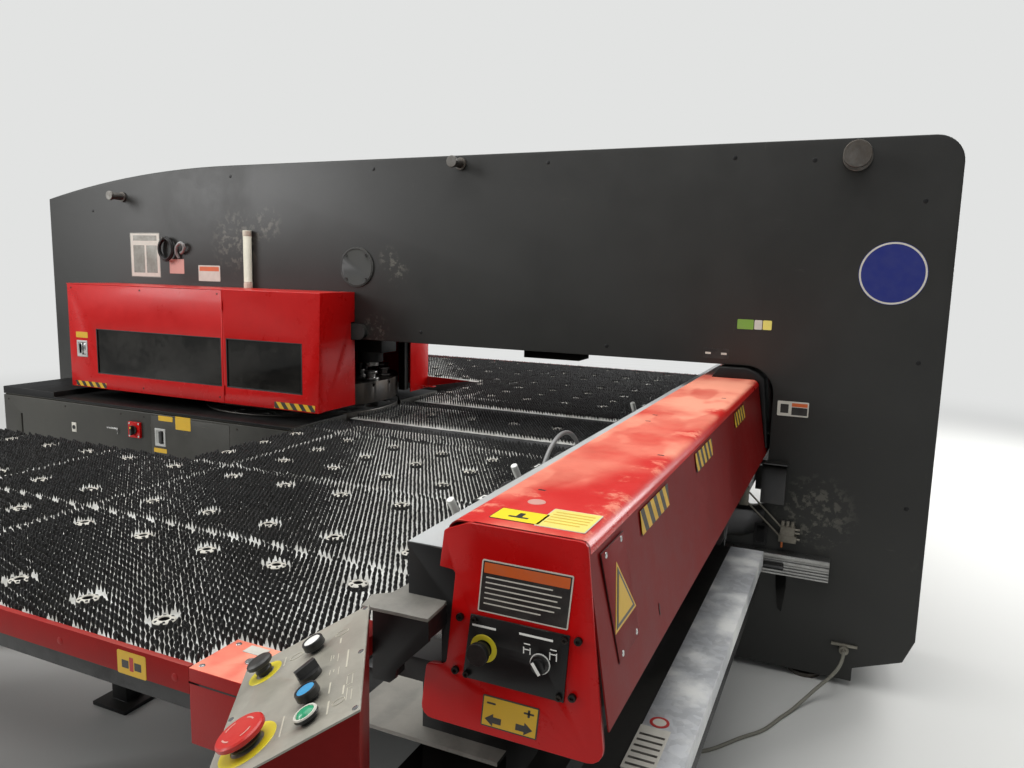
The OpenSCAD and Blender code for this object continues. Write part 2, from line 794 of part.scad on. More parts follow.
module y_rails() {
    for (s = [0, 1]) mirror([0, s, 0]) {
        color([0.75, 0.76, 0.77]) translate([rail_left, -half_w - rail_out, rail_top - 43])
            difference() {
                cube([rail_right - rail_left, rail_out, 43]);
                translate([-1, -1, 14]) cube([rail_right - rail_left + 2, 9, 12]);
            }
        color([0.18, 0.18, 0.19])
            for (z = [0:3]) translate([rail_left, -half_w - rail_out + 6, rail_top - rail_h + z * 13])
                cube([rail_right - rail_left, rail_out - 6, 8]);
        color([0.18, 0.18, 0.19]) translate([rail_left, -half_w - rail_out + 14, rail_top - rail_h])
            cube([rail_right - rail_left, rail_out - 14, rail_h - 43]);
    }
}

// Lubricant distributor with its pipes, on the post
module valve_block() {
    x0 = throat_right + 68;
    z0 = 612;
    end_x = x0 - 173;
    color([0.78, 0.77, 0.7]) {
        translate([x0, -half_w - 34, z0]) cube([72, 34, 30]);
        translate([x0 + 6, -half_w - 30, z0 + 30]) cube([58, 30, 38]);
        for (i = [0:2]) translate([x0 + 14 + i * 20, -half_w - 16, z0 + 68]) cylinder(r = 7, h = 22,
            $fn = 20);
        for (i = [0:1]) translate([x0 + 64, -half_w - 18, z0 + 42 + i * 16]) rotate([0, 90, 0])
            cylinder(r = 5, h = 20, $fn = 20);
        translate([x0 + 72, -half_w - 18, z0 + 15]) rotate([0, 90, 0]) cylinder(r = 5, h = 14, $fn = 20);
    }
    color([0.75, 0.35, 0.1]) translate([x0 + 14, -half_w - 20, z0 - 28]) cylinder(r = 5, h = 28, $fn = 20);
    color([0.7, 0.7, 0.7]) {
        pipe_between([x0 + 2, z0 + 22], [end_x + 10, z0 + 172], 4);
        pipe_between([x0 + 8, z0 + 60], [end_x + 27, z0 + 207], 4);
        translate([end_x, -half_w - 24, z0 + 138]) cube([36, 24, 84]);
    }
}

// Straight pipe along the side plate between two XZ points
module pipe_between(a, b, r) {
    run = b[0] - a[0];
    rise = b[1] - a[1];
    translate([a[0], -half_w - 26 + 10, a[1]]) rotate([0, atan2(run, rise), 0])
        cylinder(r = r, h = sqrt(run * run + rise * rise), $fn = 20);
}

// Cable outlet near the foot of the post
module cable_socket() {
    color([0.5, 0.5, 0.5]) translate([socket_x, -half_w, 172]) {
        translate([-52, -10, 12]) cube([104, 10, 12]);
        rotate([90, 0, 0]) cylinder(r = 19, h = 26);
        rotate([90, 0, 0]) cylinder(r = 10, h = 44, $fn = 32);
    }
}

// Route of the free cable: out of its gland, down to the floor and off behind the tray
cable_r = 7;
cable_steps = [[0, 44, 172], [5, 83, 152], [21, 119, 126], [52, 143, 90], [92, 175, 55], [145, 256, 22],
    [181, 325, 9], [213, 391, 7], [265, 508, 7], [338, 602, 7], [414, 709, 7], [469, 764, 7],
    [545, 825, 7], [630, 870, 7], [690, 893, 11], [740, 905, 17.5], [795, 915, 17.5]];
cable_route = [for (p = cable_steps) [socket_x - p[0], -half_w - p[1], p[2]]];

function unit(v) = v / norm(v);
function tangent(p, i) = unit(p[min(i + 1, len(p) - 1)] - p[max(i - 1, 0)]);
function side_of(t) = unit(cross(t, [0.3, 0.9, 0.25]));
function ring(p, t, r, n) = [for (k = [0:n - 1]) let (a = 360 * k / n, s = side_of(t), u = cross(s, t))
    p + r * (cos(a) * s + sin(a) * u)];
function catmull(a, b, c, d, t) = 0.5 * (2 * b + (c - a) * t + (2 * a - 5 * b + 4 * c - d) * t * t
    + (3 * b - a - 3 * c + d) * t * t * t);
function smooth_route(p, m) = concat([for (i = [0:len(p) - 2]) for (k = [0:m - 1])
    catmull(p[max(i - 1, 0)], p[i], p[i + 1], p[min(i + 2, len(p) - 1)], k / m)], [p[len(p) - 1]]);

// Closed tube swept along a route
module tube(p, r, n) {
    rings = len(p);
    pts = [for (i = [0:rings - 1]) each ring(p[i], tangent(p, i), r, n)];
    sides = [for (i = [0:rings - 2]) for (k = [0:n - 1])
        [i * n + k, i * n + (k + 1) % n, (i + 1) * n + (k + 1) % n, (i + 1) * n + k]];
    caps = [[for (k = [n - 1:-1:0]) k], [for (k = [0:n - 1]) (rings - 1) * n + k]];
    polyhedron(points = pts, faces = concat(sides, caps), convexity = 4);
}

module socket_cable() {
    color([0.55, 0.55, 0.5]) tube(smooth_route(cable_route, 3), cable_r, 8);
}

// Connector on the free end of the cable, lying on the floor
module cable_plug() {
    tail = cable_route[len(cable_route) - 1];
    before = cable_route[len(cable_route) - 2];
    heading = atan2(tail[1] - before[1], tail[0] - before[0]);
    color([0.06, 0.06, 0.06]) translate(tail) rotate([0, 0, heading]) rotate([0, 90, 0])
        translate([0, 0, -10]) difference() {
            union() {
                cylinder(r = 12, h = 18);
                translate([0, 0, 18]) cylinder(r = 17, h = 44);
                translate([0, 0, 62]) cylinder(r = 14, h = 12);
            }
            translate([0, 0, -1]) cylinder(r = cable_r + 0.6, h = 15);
            translate([0, 0, 66]) cylinder(r = 11, h = 9);
        }
}

// Lower beam, uprights and rail blocks that carry the guide beam and the wing tables
module carriage_base() {
    x0 = beam_left - 50;
    color([0.1, 0.1, 0.1])
        for (s = [0, 1]) mirror([0, s, 0]) {
            translate([x0, -beam_half, beam_z0]) cube([300, beam_half - half_w - 12, beam_z1 - beam_z0]);
            translate([x0, -half_w - 100, beam_z1]) cube([300, 88, beam_bottom - beam_z1]);
            translate([x0, -half_w - 88, rail_top + eps]) cube([300, 76, beam_z0 - rail_top - eps]);
            translate([x0, -half_w - 88, rail_top - 60]) cube([300, 88 - rail_out - 2, 60 + eps]);
            for (y = [-beam_half + 60, -centre_half - 300])
                translate([beam_left, y, beam_z1]) cube([180, 160, beam_bottom - beam_z1]);
            translate([corner_right, -beam_half + 20, underside_z + 10])
                cube([beam_left + 180 - corner_right, 355, 8]);
            translate([x0 + 300, -beam_half, tray_top - 140]) cube([190, beam_half - tray_end, 137]);
            translate([x0 + 290, -half_w - 75, rail_top - 48]) rotate([0, 90, 0]) cylinder(r = 12, h = 174);
            translate([x0 + 464, -half_w - 75, rail_top - 48]) rotate([0, 90, 0]) cylinder(r = 14, h = 86);
        }
}

// Guide beam with its C-shaped mouth towards the table, and a pale top strip
module guide_beam() {
    mouth_z0 = beam_bottom + 45;
    mouth_z1 = beam_top - 50;
    half = beam_half - 6 - eps;
    color([0.06, 0.06, 0.06]) translate([0, half, 0]) rotate([90, 0, 0]) linear_extrude(2 * half)
        polygon([[beam_left - 26, beam_bottom], [beam_left + beam_w, beam_bottom], [beam_left + beam_w,
            beam_top - 6],
            [beam_left, beam_top - 6], [beam_left, mouth_z1], [beam_left + 70, mouth_z1],
            [beam_left + 70, mouth_z0], [beam_left - 26, mouth_z0]]);
    color([0.72, 0.73, 0.74]) translate([beam_left + 40, -half + 30, mouth_z0 + 30])
        cube([30, 2 * half - 60, 34]);
    color([0.62, 0.64, 0.66]) translate([beam_left - 4, -half, beam_top - 6])
        cube([shell_left - beam_left + 3, 2 * half, 6]);
    color([0.06, 0.06, 0.06]) slab(-half, 40) translate([beam_left, shelf_z])
        square([shell_left - beam_left, beam_top - 6 - shelf_z]);
    end_shelf();
}

// Dusty shelf with its gusset at the near end of the guide beam, through the notch in the end plate
module end_shelf() {
    z1 = shelf_z;
    color([0.5, 0.5, 0.5]) translate([0, 0, z1 - 6]) linear_extrude(6)
        polygon([[beam_left - 46, -beam_half - 76], [shell_left + 10, -beam_half - 72], [shell_left + 6,
            -beam_half - 10],
            [shell_left - 6, -beam_half + 46], [beam_left - 23, -beam_half + 46], [beam_left - 28,
                -beam_half - 6],
            [beam_left - 56, -beam_half - 30]]);
    color([0.06, 0.06, 0.06]) slab(-beam_half - 66, 8)
        polygon([[beam_left - 30, z1 - 6], [beam_left - 30, z1 - 138], [beam_left + 6, z1 - 139],
            [beam_left + 18, z1 - 128],
            [beam_left + 20, z1 - 112], [shell_left + 8, z1 - 46], [shell_left + 8, z1 - 6]]);
    color([0.06, 0.06, 0.06]) translate([beam_left - 30, -beam_half - 66, z1 - 139]) cube([36, 50, 133]);
    color([0.06, 0.06, 0.06]) translate([beam_left + 20, -beam_half - 59, z1 - 46])
        cube([shell_left - beam_left - 16, 105, 40]);
}

// Outline of the red carriage cover, drawn in by a set amount
module shell_outline(i) {
    r = 26;
    z = shell_top - r;
    x0 = shell_left + 4 + r;
    x1 = shell_upper_right - 4 - r;
    bends = [for (k = [0:6]) 15 * k];
    polygon(concat([[shell_left + i, beam_top]],
        [for (a = bends) [x0 - (r - i) * cos(a), z + (r - i) * sin(a)]],
        [for (a = bends) [x1 + (r - i) * sin(a), z + (r - i) * cos(a)]],
        [[shell_lower_right - i, beam_bottom], [beam_left + beam_w + 2, beam_bottom],
        [beam_left + beam_w + 2, beam_top]]));
}

module carriage_cover() {
    color([0.75, 0.04, 0.05]) translate([0, beam_half - 6 - eps, 0]) rotate([90, 0, 0])
        linear_extrude(2 * beam_half - 12 - 2 * eps) difference() {
            shell_outline(0);
            difference() {
                shell_outline(3);
                translate([shell_left, beam_top - 1]) square([3.5, 40]);
            }
            translate([beam_left + beam_w - 40, beam_bottom - 1])
                square([shell_lower_right - beam_left - beam_w + 37, 3]);
            translate([beam_left, beam_bottom]) square([beam_w + 2, beam_top - beam_bottom]);
        }
}

// Arc of a set radius in place of a corner between two neighbours
function arc_corner(a, b, c) = let (p = [b[0], b[1]], u = unit([a[0], a[1]] - p),
    v = unit([c[0], c[1]] - p), r = b[2], bend = acos(u * v) / 2, m = p + unit(u + v) * r / sin(bend),
    s = p + u * r / tan(bend) - m, e = p + v * r / tan(bend) - m,
    from = atan2(s[1], s[0]), sweep = atan2(s[0] * e[1] - s[1] * e[0], s * e))
    [for (k = [0:4]) m + r * [cos(from + sweep * k / 4), sin(from + sweep * k / 4)]];
function round_corners(c) = let (n = len(c))
    [for (i = [0:n - 1]) each arc_corner(c[(i + n - 1) % n], c[i], c[(i + 1) % n])];

// Folded end plate of the carriage cover: corners as X, Z and radius
module end_plate_outline() {
    low = end_plate_bottom;
    polygon(round_corners([[shell_left - 8, beam_top - 31, 2], [shell_left, shell_top - 20, 8],
        [shell_left + 48, shell_top, 30], [shell_upper_right - 4, shell_top, 14],
        [shell_lower_right - 4, low, 28], [shell_left - 46, low, 22], [shell_left - 34, low + 107, 12],
        [shell_left + 7, low + 112, 14], [shell_left + 24, beam_top - 33, 8]]));
}

module end_plates() {
    color([0.6, 0.03, 0.04]) {
        difference() {
            slab(-beam_half, 6) end_plate_outline();
            for (c = control_places)
                translate([control_plate_x + c[0], -beam_half - 1, control_plate_z + c[1]]) rotate([-90,
                    0, 0])
                    cylinder(r = 13, h = 8);
        }
        slab(beam_half - 6, 6) end_plate_outline();
    }
}

// Black hood round both ends of the cover's stretch in the throat, with room for the box under the beam
module frame_hood() {
    hood_out = half_w + 30;
    hood_in = 170;
    color([0.05, 0.05, 0.05]) for (y = [-hood_out, hood_in]) slab(y, hood_out - hood_in) difference() {
        polygon([[shell_left + 56, shell_top - 14], [shell_left + 96, shell_top + 46], [shell_left + 214,
            shell_top + 46],
            [shell_upper_right - 12, shell_top + 28], [shell_upper_right + 17, shell_top + 4],
            [shell_lower_right + 3, beam_bottom + 30], [shell_lower_right - 20, beam_bottom + 30]]);
        shell_outline(-eps);
        shell_core();
    }
}

// Everything well inside the carriage cover
module shell_core() {
    polygon([[shell_left + 20, shell_top - 20], [shell_upper_right - 20, shell_top - 20],
        [shell_lower_right - 14, beam_bottom], [shell_left + 20, beam_bottom]]);
}

module cable_tray() {
    x0 = beam_left + 326;
    color([0.45, 0.46, 0.47]) for (s = [0, 1]) mirror([0, s, 0]) {
        translate([x0, -beam_half, tray_top - 3]) cube([tray_w, beam_half - tray_end, 3]);
        translate([x0 + tray_w - 3, -beam_half, tray_top - 60]) cube([3, beam_half - tray_end, 60]);
    }
}

module end_control_plate() {
    color([0.05, 0.05, 0.05]) difference() {
        slab(-beam_half - 4, 4) translate([control_plate_x, control_plate_z])
            polygon([[-3, 0], [189, 0], [196, 121], [11, 121]]);
        for (c = control_places)
            translate([control_plate_x + c[0], -beam_half - 5, control_plate_z + c[1]]) rotate([-90, 0, 0])
                cylinder(r = 11.05, h = 6);
    }
}

// Places its children on the control plate, pointing out of it
module on_control_plate(c) {
    translate([control_plate_x + c[0], -beam_half - 4, control_plate_z + c[1]]) rotate([90, 0, 0])
        children();
}

module end_stop_button() {
    color([0.06, 0.06, 0.06]) on_control_plate(control_places[0]) {
        translate([0, 0, -3]) cylinder(r = 11, h = 12 + button_travel);
        translate([0, 0, eps + button_travel]) cylinder(r = 15, h = 14, $fn = 40);
        translate([0, 0, 14 + button_travel]) cylinder(r = 20, h = 10, $fn = 48);
    }
}

module gauge_selector() {
    color([0.7, 0.7, 0.7]) on_control_plate(control_places[1]) {
        translate([0, 0, -3]) cylinder(r = 11, h = 8);
        translate([0, 0, eps]) cylinder(r = 16, h = 6, $fn = 40);
        translate([0, 0, 6]) cylinder(r = 12, h = 8, $fn = 40);
        rotate(35) translate([-3, -12, 13]) cube([6, 24, 8]);
    }
}

// Socket-head screws on the end plate, the control plate and the access panel
module cover_screws() {
    color([0.08, 0.08, 0.08]) {
        for (p = [[1962, 1133], [2183, 1137], [1954, 1031], [2176, 1035]])
            translate([p[0], -beam_half, p[1]]) socket_screw_y(7, 7);
        for (p = [[19, 113], [188, 113], [5, 8], [181, 8]])
            translate([control_plate_x + p[0], -beam_half - 4, control_plate_z + p[1]]) socket_screw_y(6,
                5);
    }
}

// Slide that carries the work clamps along the guide beam
module x_carriage() {
    y0 = clamp_pitch_1 - 160;
    y1 = clamp_pitch_3 + 180;
    z0 = beam_bottom + 50;
    loop_r = 205;
    half_angle = 55;
    color([0.1, 0.1, 0.1]) {
        translate([slide_left, y0, z0]) cube([beam_left - slide_left - eps, y1 - y0, 118]);
        translate([beam_left - 1, y0 + 20, z0 + 20]) cube([41 - eps, y1 - y0 - 40, 70]);
    }
    color([0.55, 0.56, 0.57]) translate([slide_left + 40, (clamp_pitch_1 + clamp_pitch_2) / 2 + 45, z0])
        rotate([0, 90, 0]) rotate([0, 0, 180 - half_angle])
            rotate_extrude(angle = 2 * half_angle, $fn = 96) translate([loop_r, 0]) circle(r = 7, $fn = 24);
}

// Fixed lower jaws and bodies of the work clamps
module work_clamps() {
    jaw_half = 45;
    cheek_t = 8;
    low = pass_z + 4;
    for (y = clamp_ys) translate([0, y, 0]) {
        color([0.15, 0.15, 0.15]) slab(-jaw_half - 2 - cheek_t, 2 * (jaw_half + 2 + cheek_t))
            polygon([[clamp_tip_x, low], [slide_left, low], [slide_left, pass_z + 110],
                [clamp_pivot_x + 24, pass_z + 110],
                [clamp_pivot_x + 24, pass_z + 18], [clamp_tip_x, pass_z + 14]]);
        color([0.15, 0.15, 0.15]) for (s = [0, 1]) mirror([0, s, 0]) slab(jaw_half + 2, cheek_t)
            polygon([[clamp_pivot_x - 22, pass_z + 16], [clamp_pivot_x + 24, pass_z + 16],
                [clamp_pivot_x + 24, clamp_pivot_z + 22], [clamp_pivot_x - 12, clamp_pivot_z + 22],
                [clamp_pivot_x - 22, clamp_pivot_z + 10]]);
        color([0.6, 0.6, 0.6]) translate([clamp_pivot_x, jaw_half + 2 + cheek_t, clamp_pivot_z])
            rotate([90, 0, 0])
            cylinder(r = 8, h = 2 * (jaw_half + 2 + cheek_t));
        color([0.8, 0.8, 0.78]) translate([clamp_tip_x + 40, -85, low]) cube([150, 30, 14]);
        color([0.8, 0.8, 0.78]) translate([clamp_tip_x + 40, -85, low + 14]) cube([22, 30, 40]);
    }
}

// Upper jaw on its pivot pin
module clamp_jaw(y) {
    color([0.2, 0.2, 0.2]) difference() {
        slab(y - 45, 90) {
            translate([clamp_pivot_x, clamp_pivot_z]) circle(r = 18);
            polygon([[clamp_tip_x + 2, pass_z + 14.6], [clamp_pivot_x - 14, pass_z + 18], [clamp_pivot_x,
                clamp_pivot_z - 18],
                [clamp_pivot_x, clamp_pivot_z + 18], [clamp_pivot_x - 20, clamp_pivot_z + 22],
                [clamp_tip_x + 30, pass_z + 50], [clamp_tip_x + 2, pass_z + 30]]);
        }
        translate([clamp_pivot_x, y + 46, clamp_pivot_z]) rotate([90, 0, 0]) cylinder(r = 8.05, h = 92);
    }
}

module clamp_jaw_1() { clamp_jaw(clamp_pitch_1); }
module clamp_jaw_2() { clamp_jaw(clamp_pitch_2); }
module clamp_jaw_3() { clamp_jaw(clamp_pitch_3); }

// Places its children on the sloped operator panel
module on_panel() {
    translate(panel_c) rotate([0, 0, panel_turn]) rotate([0, -panel_slope, 0]) children();
}

// Red desk of the operator panel, carried by an arm from the end shelf
module operator_box() {
    run = panel_w * cos(panel_slope);
    rise = panel_w * sin(panel_slope) / 2;
    below = (3 + eps) / cos(panel_slope);
    color([0.6, 0.03, 0.04]) difference() {
        translate([panel_c[0], panel_c[1], panel_c[2]]) rotate([0, 0, panel_turn])
            translate([0, panel_l / 2, 0]) rotate([90, 0, 0]) linear_extrude(panel_l)
                polygon([[-run / 2, -rise - below], [run / 2, rise - below], [run / 2, -panel_depth],
                    [-run / 2, -panel_depth]]);
        for (c = panel_places)
            on_panel() translate([c[0], c[1], -28]) cylinder(r = 13, h = 30);
    }
    color([0.5, 0.03, 0.04]) translate([beam_left - 90, -beam_half - 240, shelf_z - 94])
        cube([60 - eps, 224, 36]);
}

module operator_plate() {
    color([0.62, 0.61, 0.57]) on_panel() difference() {
        translate([-panel_w / 2, -panel_l / 2, -3]) cube([panel_w, panel_l, 3]);
        for (c = panel_places)
            translate([c[0], c[1], -4]) cylinder(r = 11.05, h = 6);
    }
}

// Push button: stem in the panel, bezel of a set height and a coloured cap
module push_button(c, h, cap) {
    top = button_travel + eps + h;
    on_panel() translate([c[0], c[1], 0]) {
        color([0.05, 0.05, 0.05]) translate([0, 0, -2.5]) cylinder(r = 11, h = 3 + button_travel);
        color([0.05, 0.05, 0.05]) translate([0, 0, button_travel + eps]) cylinder(r = bezel_r, h = h,
            $fn = 48);
        color(cap) translate([0, 0, top]) cylinder(r = bezel_r - 4, h = 2, $fn = 48);
    }
}

module mushroom(c, r, h, tint) {
    color(tint) on_panel() translate([c[0], c[1], 0]) {
        translate([0, 0, -2.5]) cylinder(r = 11, h = 3 + button_travel);
        translate([0, 0, button_travel + eps]) cylinder(r = r * 0.66, h = h - 11 - eps, $fn = 48);
        translate([0, 0, button_travel + h - 11]) cylinder(r = r, h = 10, $fn = 64);
    }
}

module white_button() { push_button(panel_places[0], 12, "white"); }
module blue_button() { push_button(panel_places[2], 12, "deepskyblue"); }
module green_button() { push_button(panel_places[3], 6, "mediumseagreen"); }
module stop_button() { mushroom(panel_places[4], 20, 21, [0.2, 0.2, 0.2]); }
module emergency_stop() { mushroom(panel_places[5], 34, 21, [0.85, 0.08, 0.04]); }

module mode_selector() {
    color([0.06, 0.06, 0.06]) on_panel() translate([panel_places[1][0], panel_places[1][1], 0]) {
        translate([0, 0, -2.5]) cylinder(r = 11, h = 8);
        translate([0, 0, eps]) cylinder(r = bezel_r, h = 8, $fn = 48);
        rotate(30) translate([-16, -5, 8]) cube([32, 10, 12]);
    }
}

near_side_plate();
far_side_plate();
beam_box();
lower_frame_box();
levelling_pads();
lifting_pins();
side_brackets();
turret_bearings();
ram_housing();
near_turret_cover();
fixed_window();
far_turret_cover();
near_base_cabinet();
far_base_cabinet();
breaker_box();
centre_table();
centre_brushes();
wing_support_posts();
y_rails();
valve_block();
cable_socket();
socket_cable();
cable_plug();
striker();
upper_turret();
punch_tools();
lower_turret();
die_tools();
turret_door();
door_window();
cabinet_door();
breaker_switch();
carriage_base();
guide_beam();
carriage_cover();
end_plates();
frame_hood();
cable_tray();
wing_decks();
wing_brushes();
wing_channels();
corner_box();
end_control_plate();
cover_screws();
end_stop_button();
gauge_selector();
gauge_block();
x_carriage();
work_clamps();
clamp_jaw_1();
clamp_jaw_2();
clamp_jaw_3();
operator_box();
operator_plate();
white_button();
blue_button();
green_button();
stop_button();
emergency_stop();
mode_selector();
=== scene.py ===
"""Looks of a bridge-frame turret punch press with brush tables and a travelling carriage.

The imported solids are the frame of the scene. This script gives them their finishes, rounds their edges
and adds the pieces that only show: brush tufts, label places, seams, handles, hoses and the free cable.
"""

import json
import logging
import math
from dataclasses import dataclass
from enum import Enum
from typing import Any, Iterable, Sequence

import bmesh
import bpy
import numpy as np
from mathutils import Matrix, Vector

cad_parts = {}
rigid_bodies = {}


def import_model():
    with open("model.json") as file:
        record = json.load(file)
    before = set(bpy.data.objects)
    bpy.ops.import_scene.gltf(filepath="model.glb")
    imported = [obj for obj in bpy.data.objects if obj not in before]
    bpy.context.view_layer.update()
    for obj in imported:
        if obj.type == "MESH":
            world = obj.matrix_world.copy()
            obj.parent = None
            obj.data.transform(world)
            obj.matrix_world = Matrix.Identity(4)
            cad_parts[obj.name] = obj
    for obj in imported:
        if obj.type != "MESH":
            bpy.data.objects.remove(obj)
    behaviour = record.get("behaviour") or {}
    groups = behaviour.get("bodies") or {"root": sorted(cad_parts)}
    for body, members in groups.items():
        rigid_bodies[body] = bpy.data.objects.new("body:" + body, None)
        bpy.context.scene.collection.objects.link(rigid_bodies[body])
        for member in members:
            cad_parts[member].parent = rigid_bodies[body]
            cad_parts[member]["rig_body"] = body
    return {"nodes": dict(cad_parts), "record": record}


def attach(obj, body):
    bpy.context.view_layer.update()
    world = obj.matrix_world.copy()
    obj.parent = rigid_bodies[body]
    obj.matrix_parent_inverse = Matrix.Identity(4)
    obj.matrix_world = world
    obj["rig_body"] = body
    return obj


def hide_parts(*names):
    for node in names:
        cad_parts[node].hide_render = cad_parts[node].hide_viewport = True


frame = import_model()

LOG = logging.getLogger("press")
MM = 0.001
FLAT_TURN = math.radians(0.4)
SMOOTH_TURN = math.radians(28)
CORNER_TURN = math.radians(35)
RIM_TURN = 0.9
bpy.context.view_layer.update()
Point = Sequence[float]
Colour = tuple[float, float, float, float]
Band = tuple[float, float, float, float, int]


def display(red: int, green: int, blue: int) -> Colour:
    """Turns a display colour into the linear colour that a shader takes.

    Args:
        red: Red from 0 to 255.
        green: Green from 0 to 255.
        blue: Blue from 0 to 255.

    Returns:
        The linear colour with an alpha of 1.
    """

    def linear(level: int) -> float:
        """Linear value of one display level."""
        share = level / 255
        return share / 12.92 if share <= 0.04045 else ((share + 0.055) / 1.055) ** 2.4

    return (linear(red), linear(green), linear(blue), 1.0)


class Graph:
    """Makes and joins the nodes of one tree."""

    def __init__(self, tree: bpy.types.NodeTree) -> None:
        """Keeps the tree that is built."""
        self.tree = tree

    def add(self, kind: str, inputs: dict[Any, Any] | None = None, **settings: Any) -> bpy.types.Node:
        """Makes a node.

        Args:
            kind: Blender's name of the node's type.
            inputs: Values or sockets by input name or number.
            **settings: Attributes of the node itself.

        Returns:
            The new node.
        """
        node = self.tree.nodes.new(kind)
        for name, value in settings.items():
            setattr(node, name, value)
        self.fill(node, inputs or {})
        return node

    def fill(self, node: bpy.types.Node, inputs: dict[Any, Any]) -> None:
        """Feeds several inputs of a node, by name or number."""
        for key, value in inputs.items():
            self.feed(node.inputs[key], value)

    def feed(self, socket: bpy.types.NodeSocket, value: Any) -> None:
        """Links a socket to an input, or sets the input's own value.

        Args:
            socket: The input.
            value: A socket to link, or a plain value.
        """
        if isinstance(value, bpy.types.NodeSocket):
            self.tree.links.new(value, socket)
        else:
            socket.default_value = value

    def math(self, operation: str, a: Any, b: Any = 0.0, clamp: bool = False) -> bpy.types.NodeSocket:
        """Result of a Math node on a and b."""
        return self.add("ShaderNodeMath", {0: a, 1: b}, operation=operation, use_clamp=clamp).outputs[0]

    def mix(self, factor: Any, a: Any, b: Any) -> bpy.types.NodeSocket:
        """Colour between a and b.

        Args:
            factor: Share of b, from 0 to 1.
            a: First colour.
            b: Second colour.

        Returns:
            The mixed colour.
        """
        node = self.add("ShaderNodeMix", data_type="RGBA", blend_type="MIX")
        self.fill(node, {0: factor, 6: a, 7: b})
        return node.outputs[2]

    def remap(self, value: Any, low: float, high: float, first: float = 0.0, last: float = 1.0) -> Any:
        """Smooth step of a value from low to high, on to first to last."""
        inputs = {"Value": value, "From Min": low, "From Max": high, "To Min": first, "To Max": last}
        return self.add("ShaderNodeMapRange", inputs, interpolation_type="SMOOTHSTEP").outputs["Result"]

    def place(self, scale: Point = (1, 1, 1), turn: Point = (0, 0, 0), shift: Point = (0, 0, 0)) -> Any:
        """Object coordinates, stretched, turned and shifted.

        Args:
            scale: Stretch along each axis.
            turn: Turn about each axis, in radians.
            shift: Move along each axis.

        Returns:
            The coordinates.
        """
        where = self.add("ShaderNodeTexCoord").outputs["Object"]
        inputs = {"Vector": where, "Location": shift, "Rotation": turn, "Scale": scale}
        return self.add("ShaderNodeMapping", inputs).outputs["Vector"]

    def noise(self, vector: Any, scale: Any, detail: float = 3.0, roughness: float = 0.55) -> Any:
        """Fractal noise from 0 to 1."""
        inputs = {"Vector": vector, "Scale": scale, "Detail": detail, "Roughness": roughness}
        return self.add("ShaderNodeTexNoise", inputs).outputs[0]


class Effect(Enum):
    """Effects that several finishes share."""

    BLOTCHES = "blotches"
    EDGE_WEAR = "edge_wear"
    DUST = "settled_dust"
    SCUFFS = "scuffs"
    GRAIN = "grain"
    SMUDGE = "smudge"


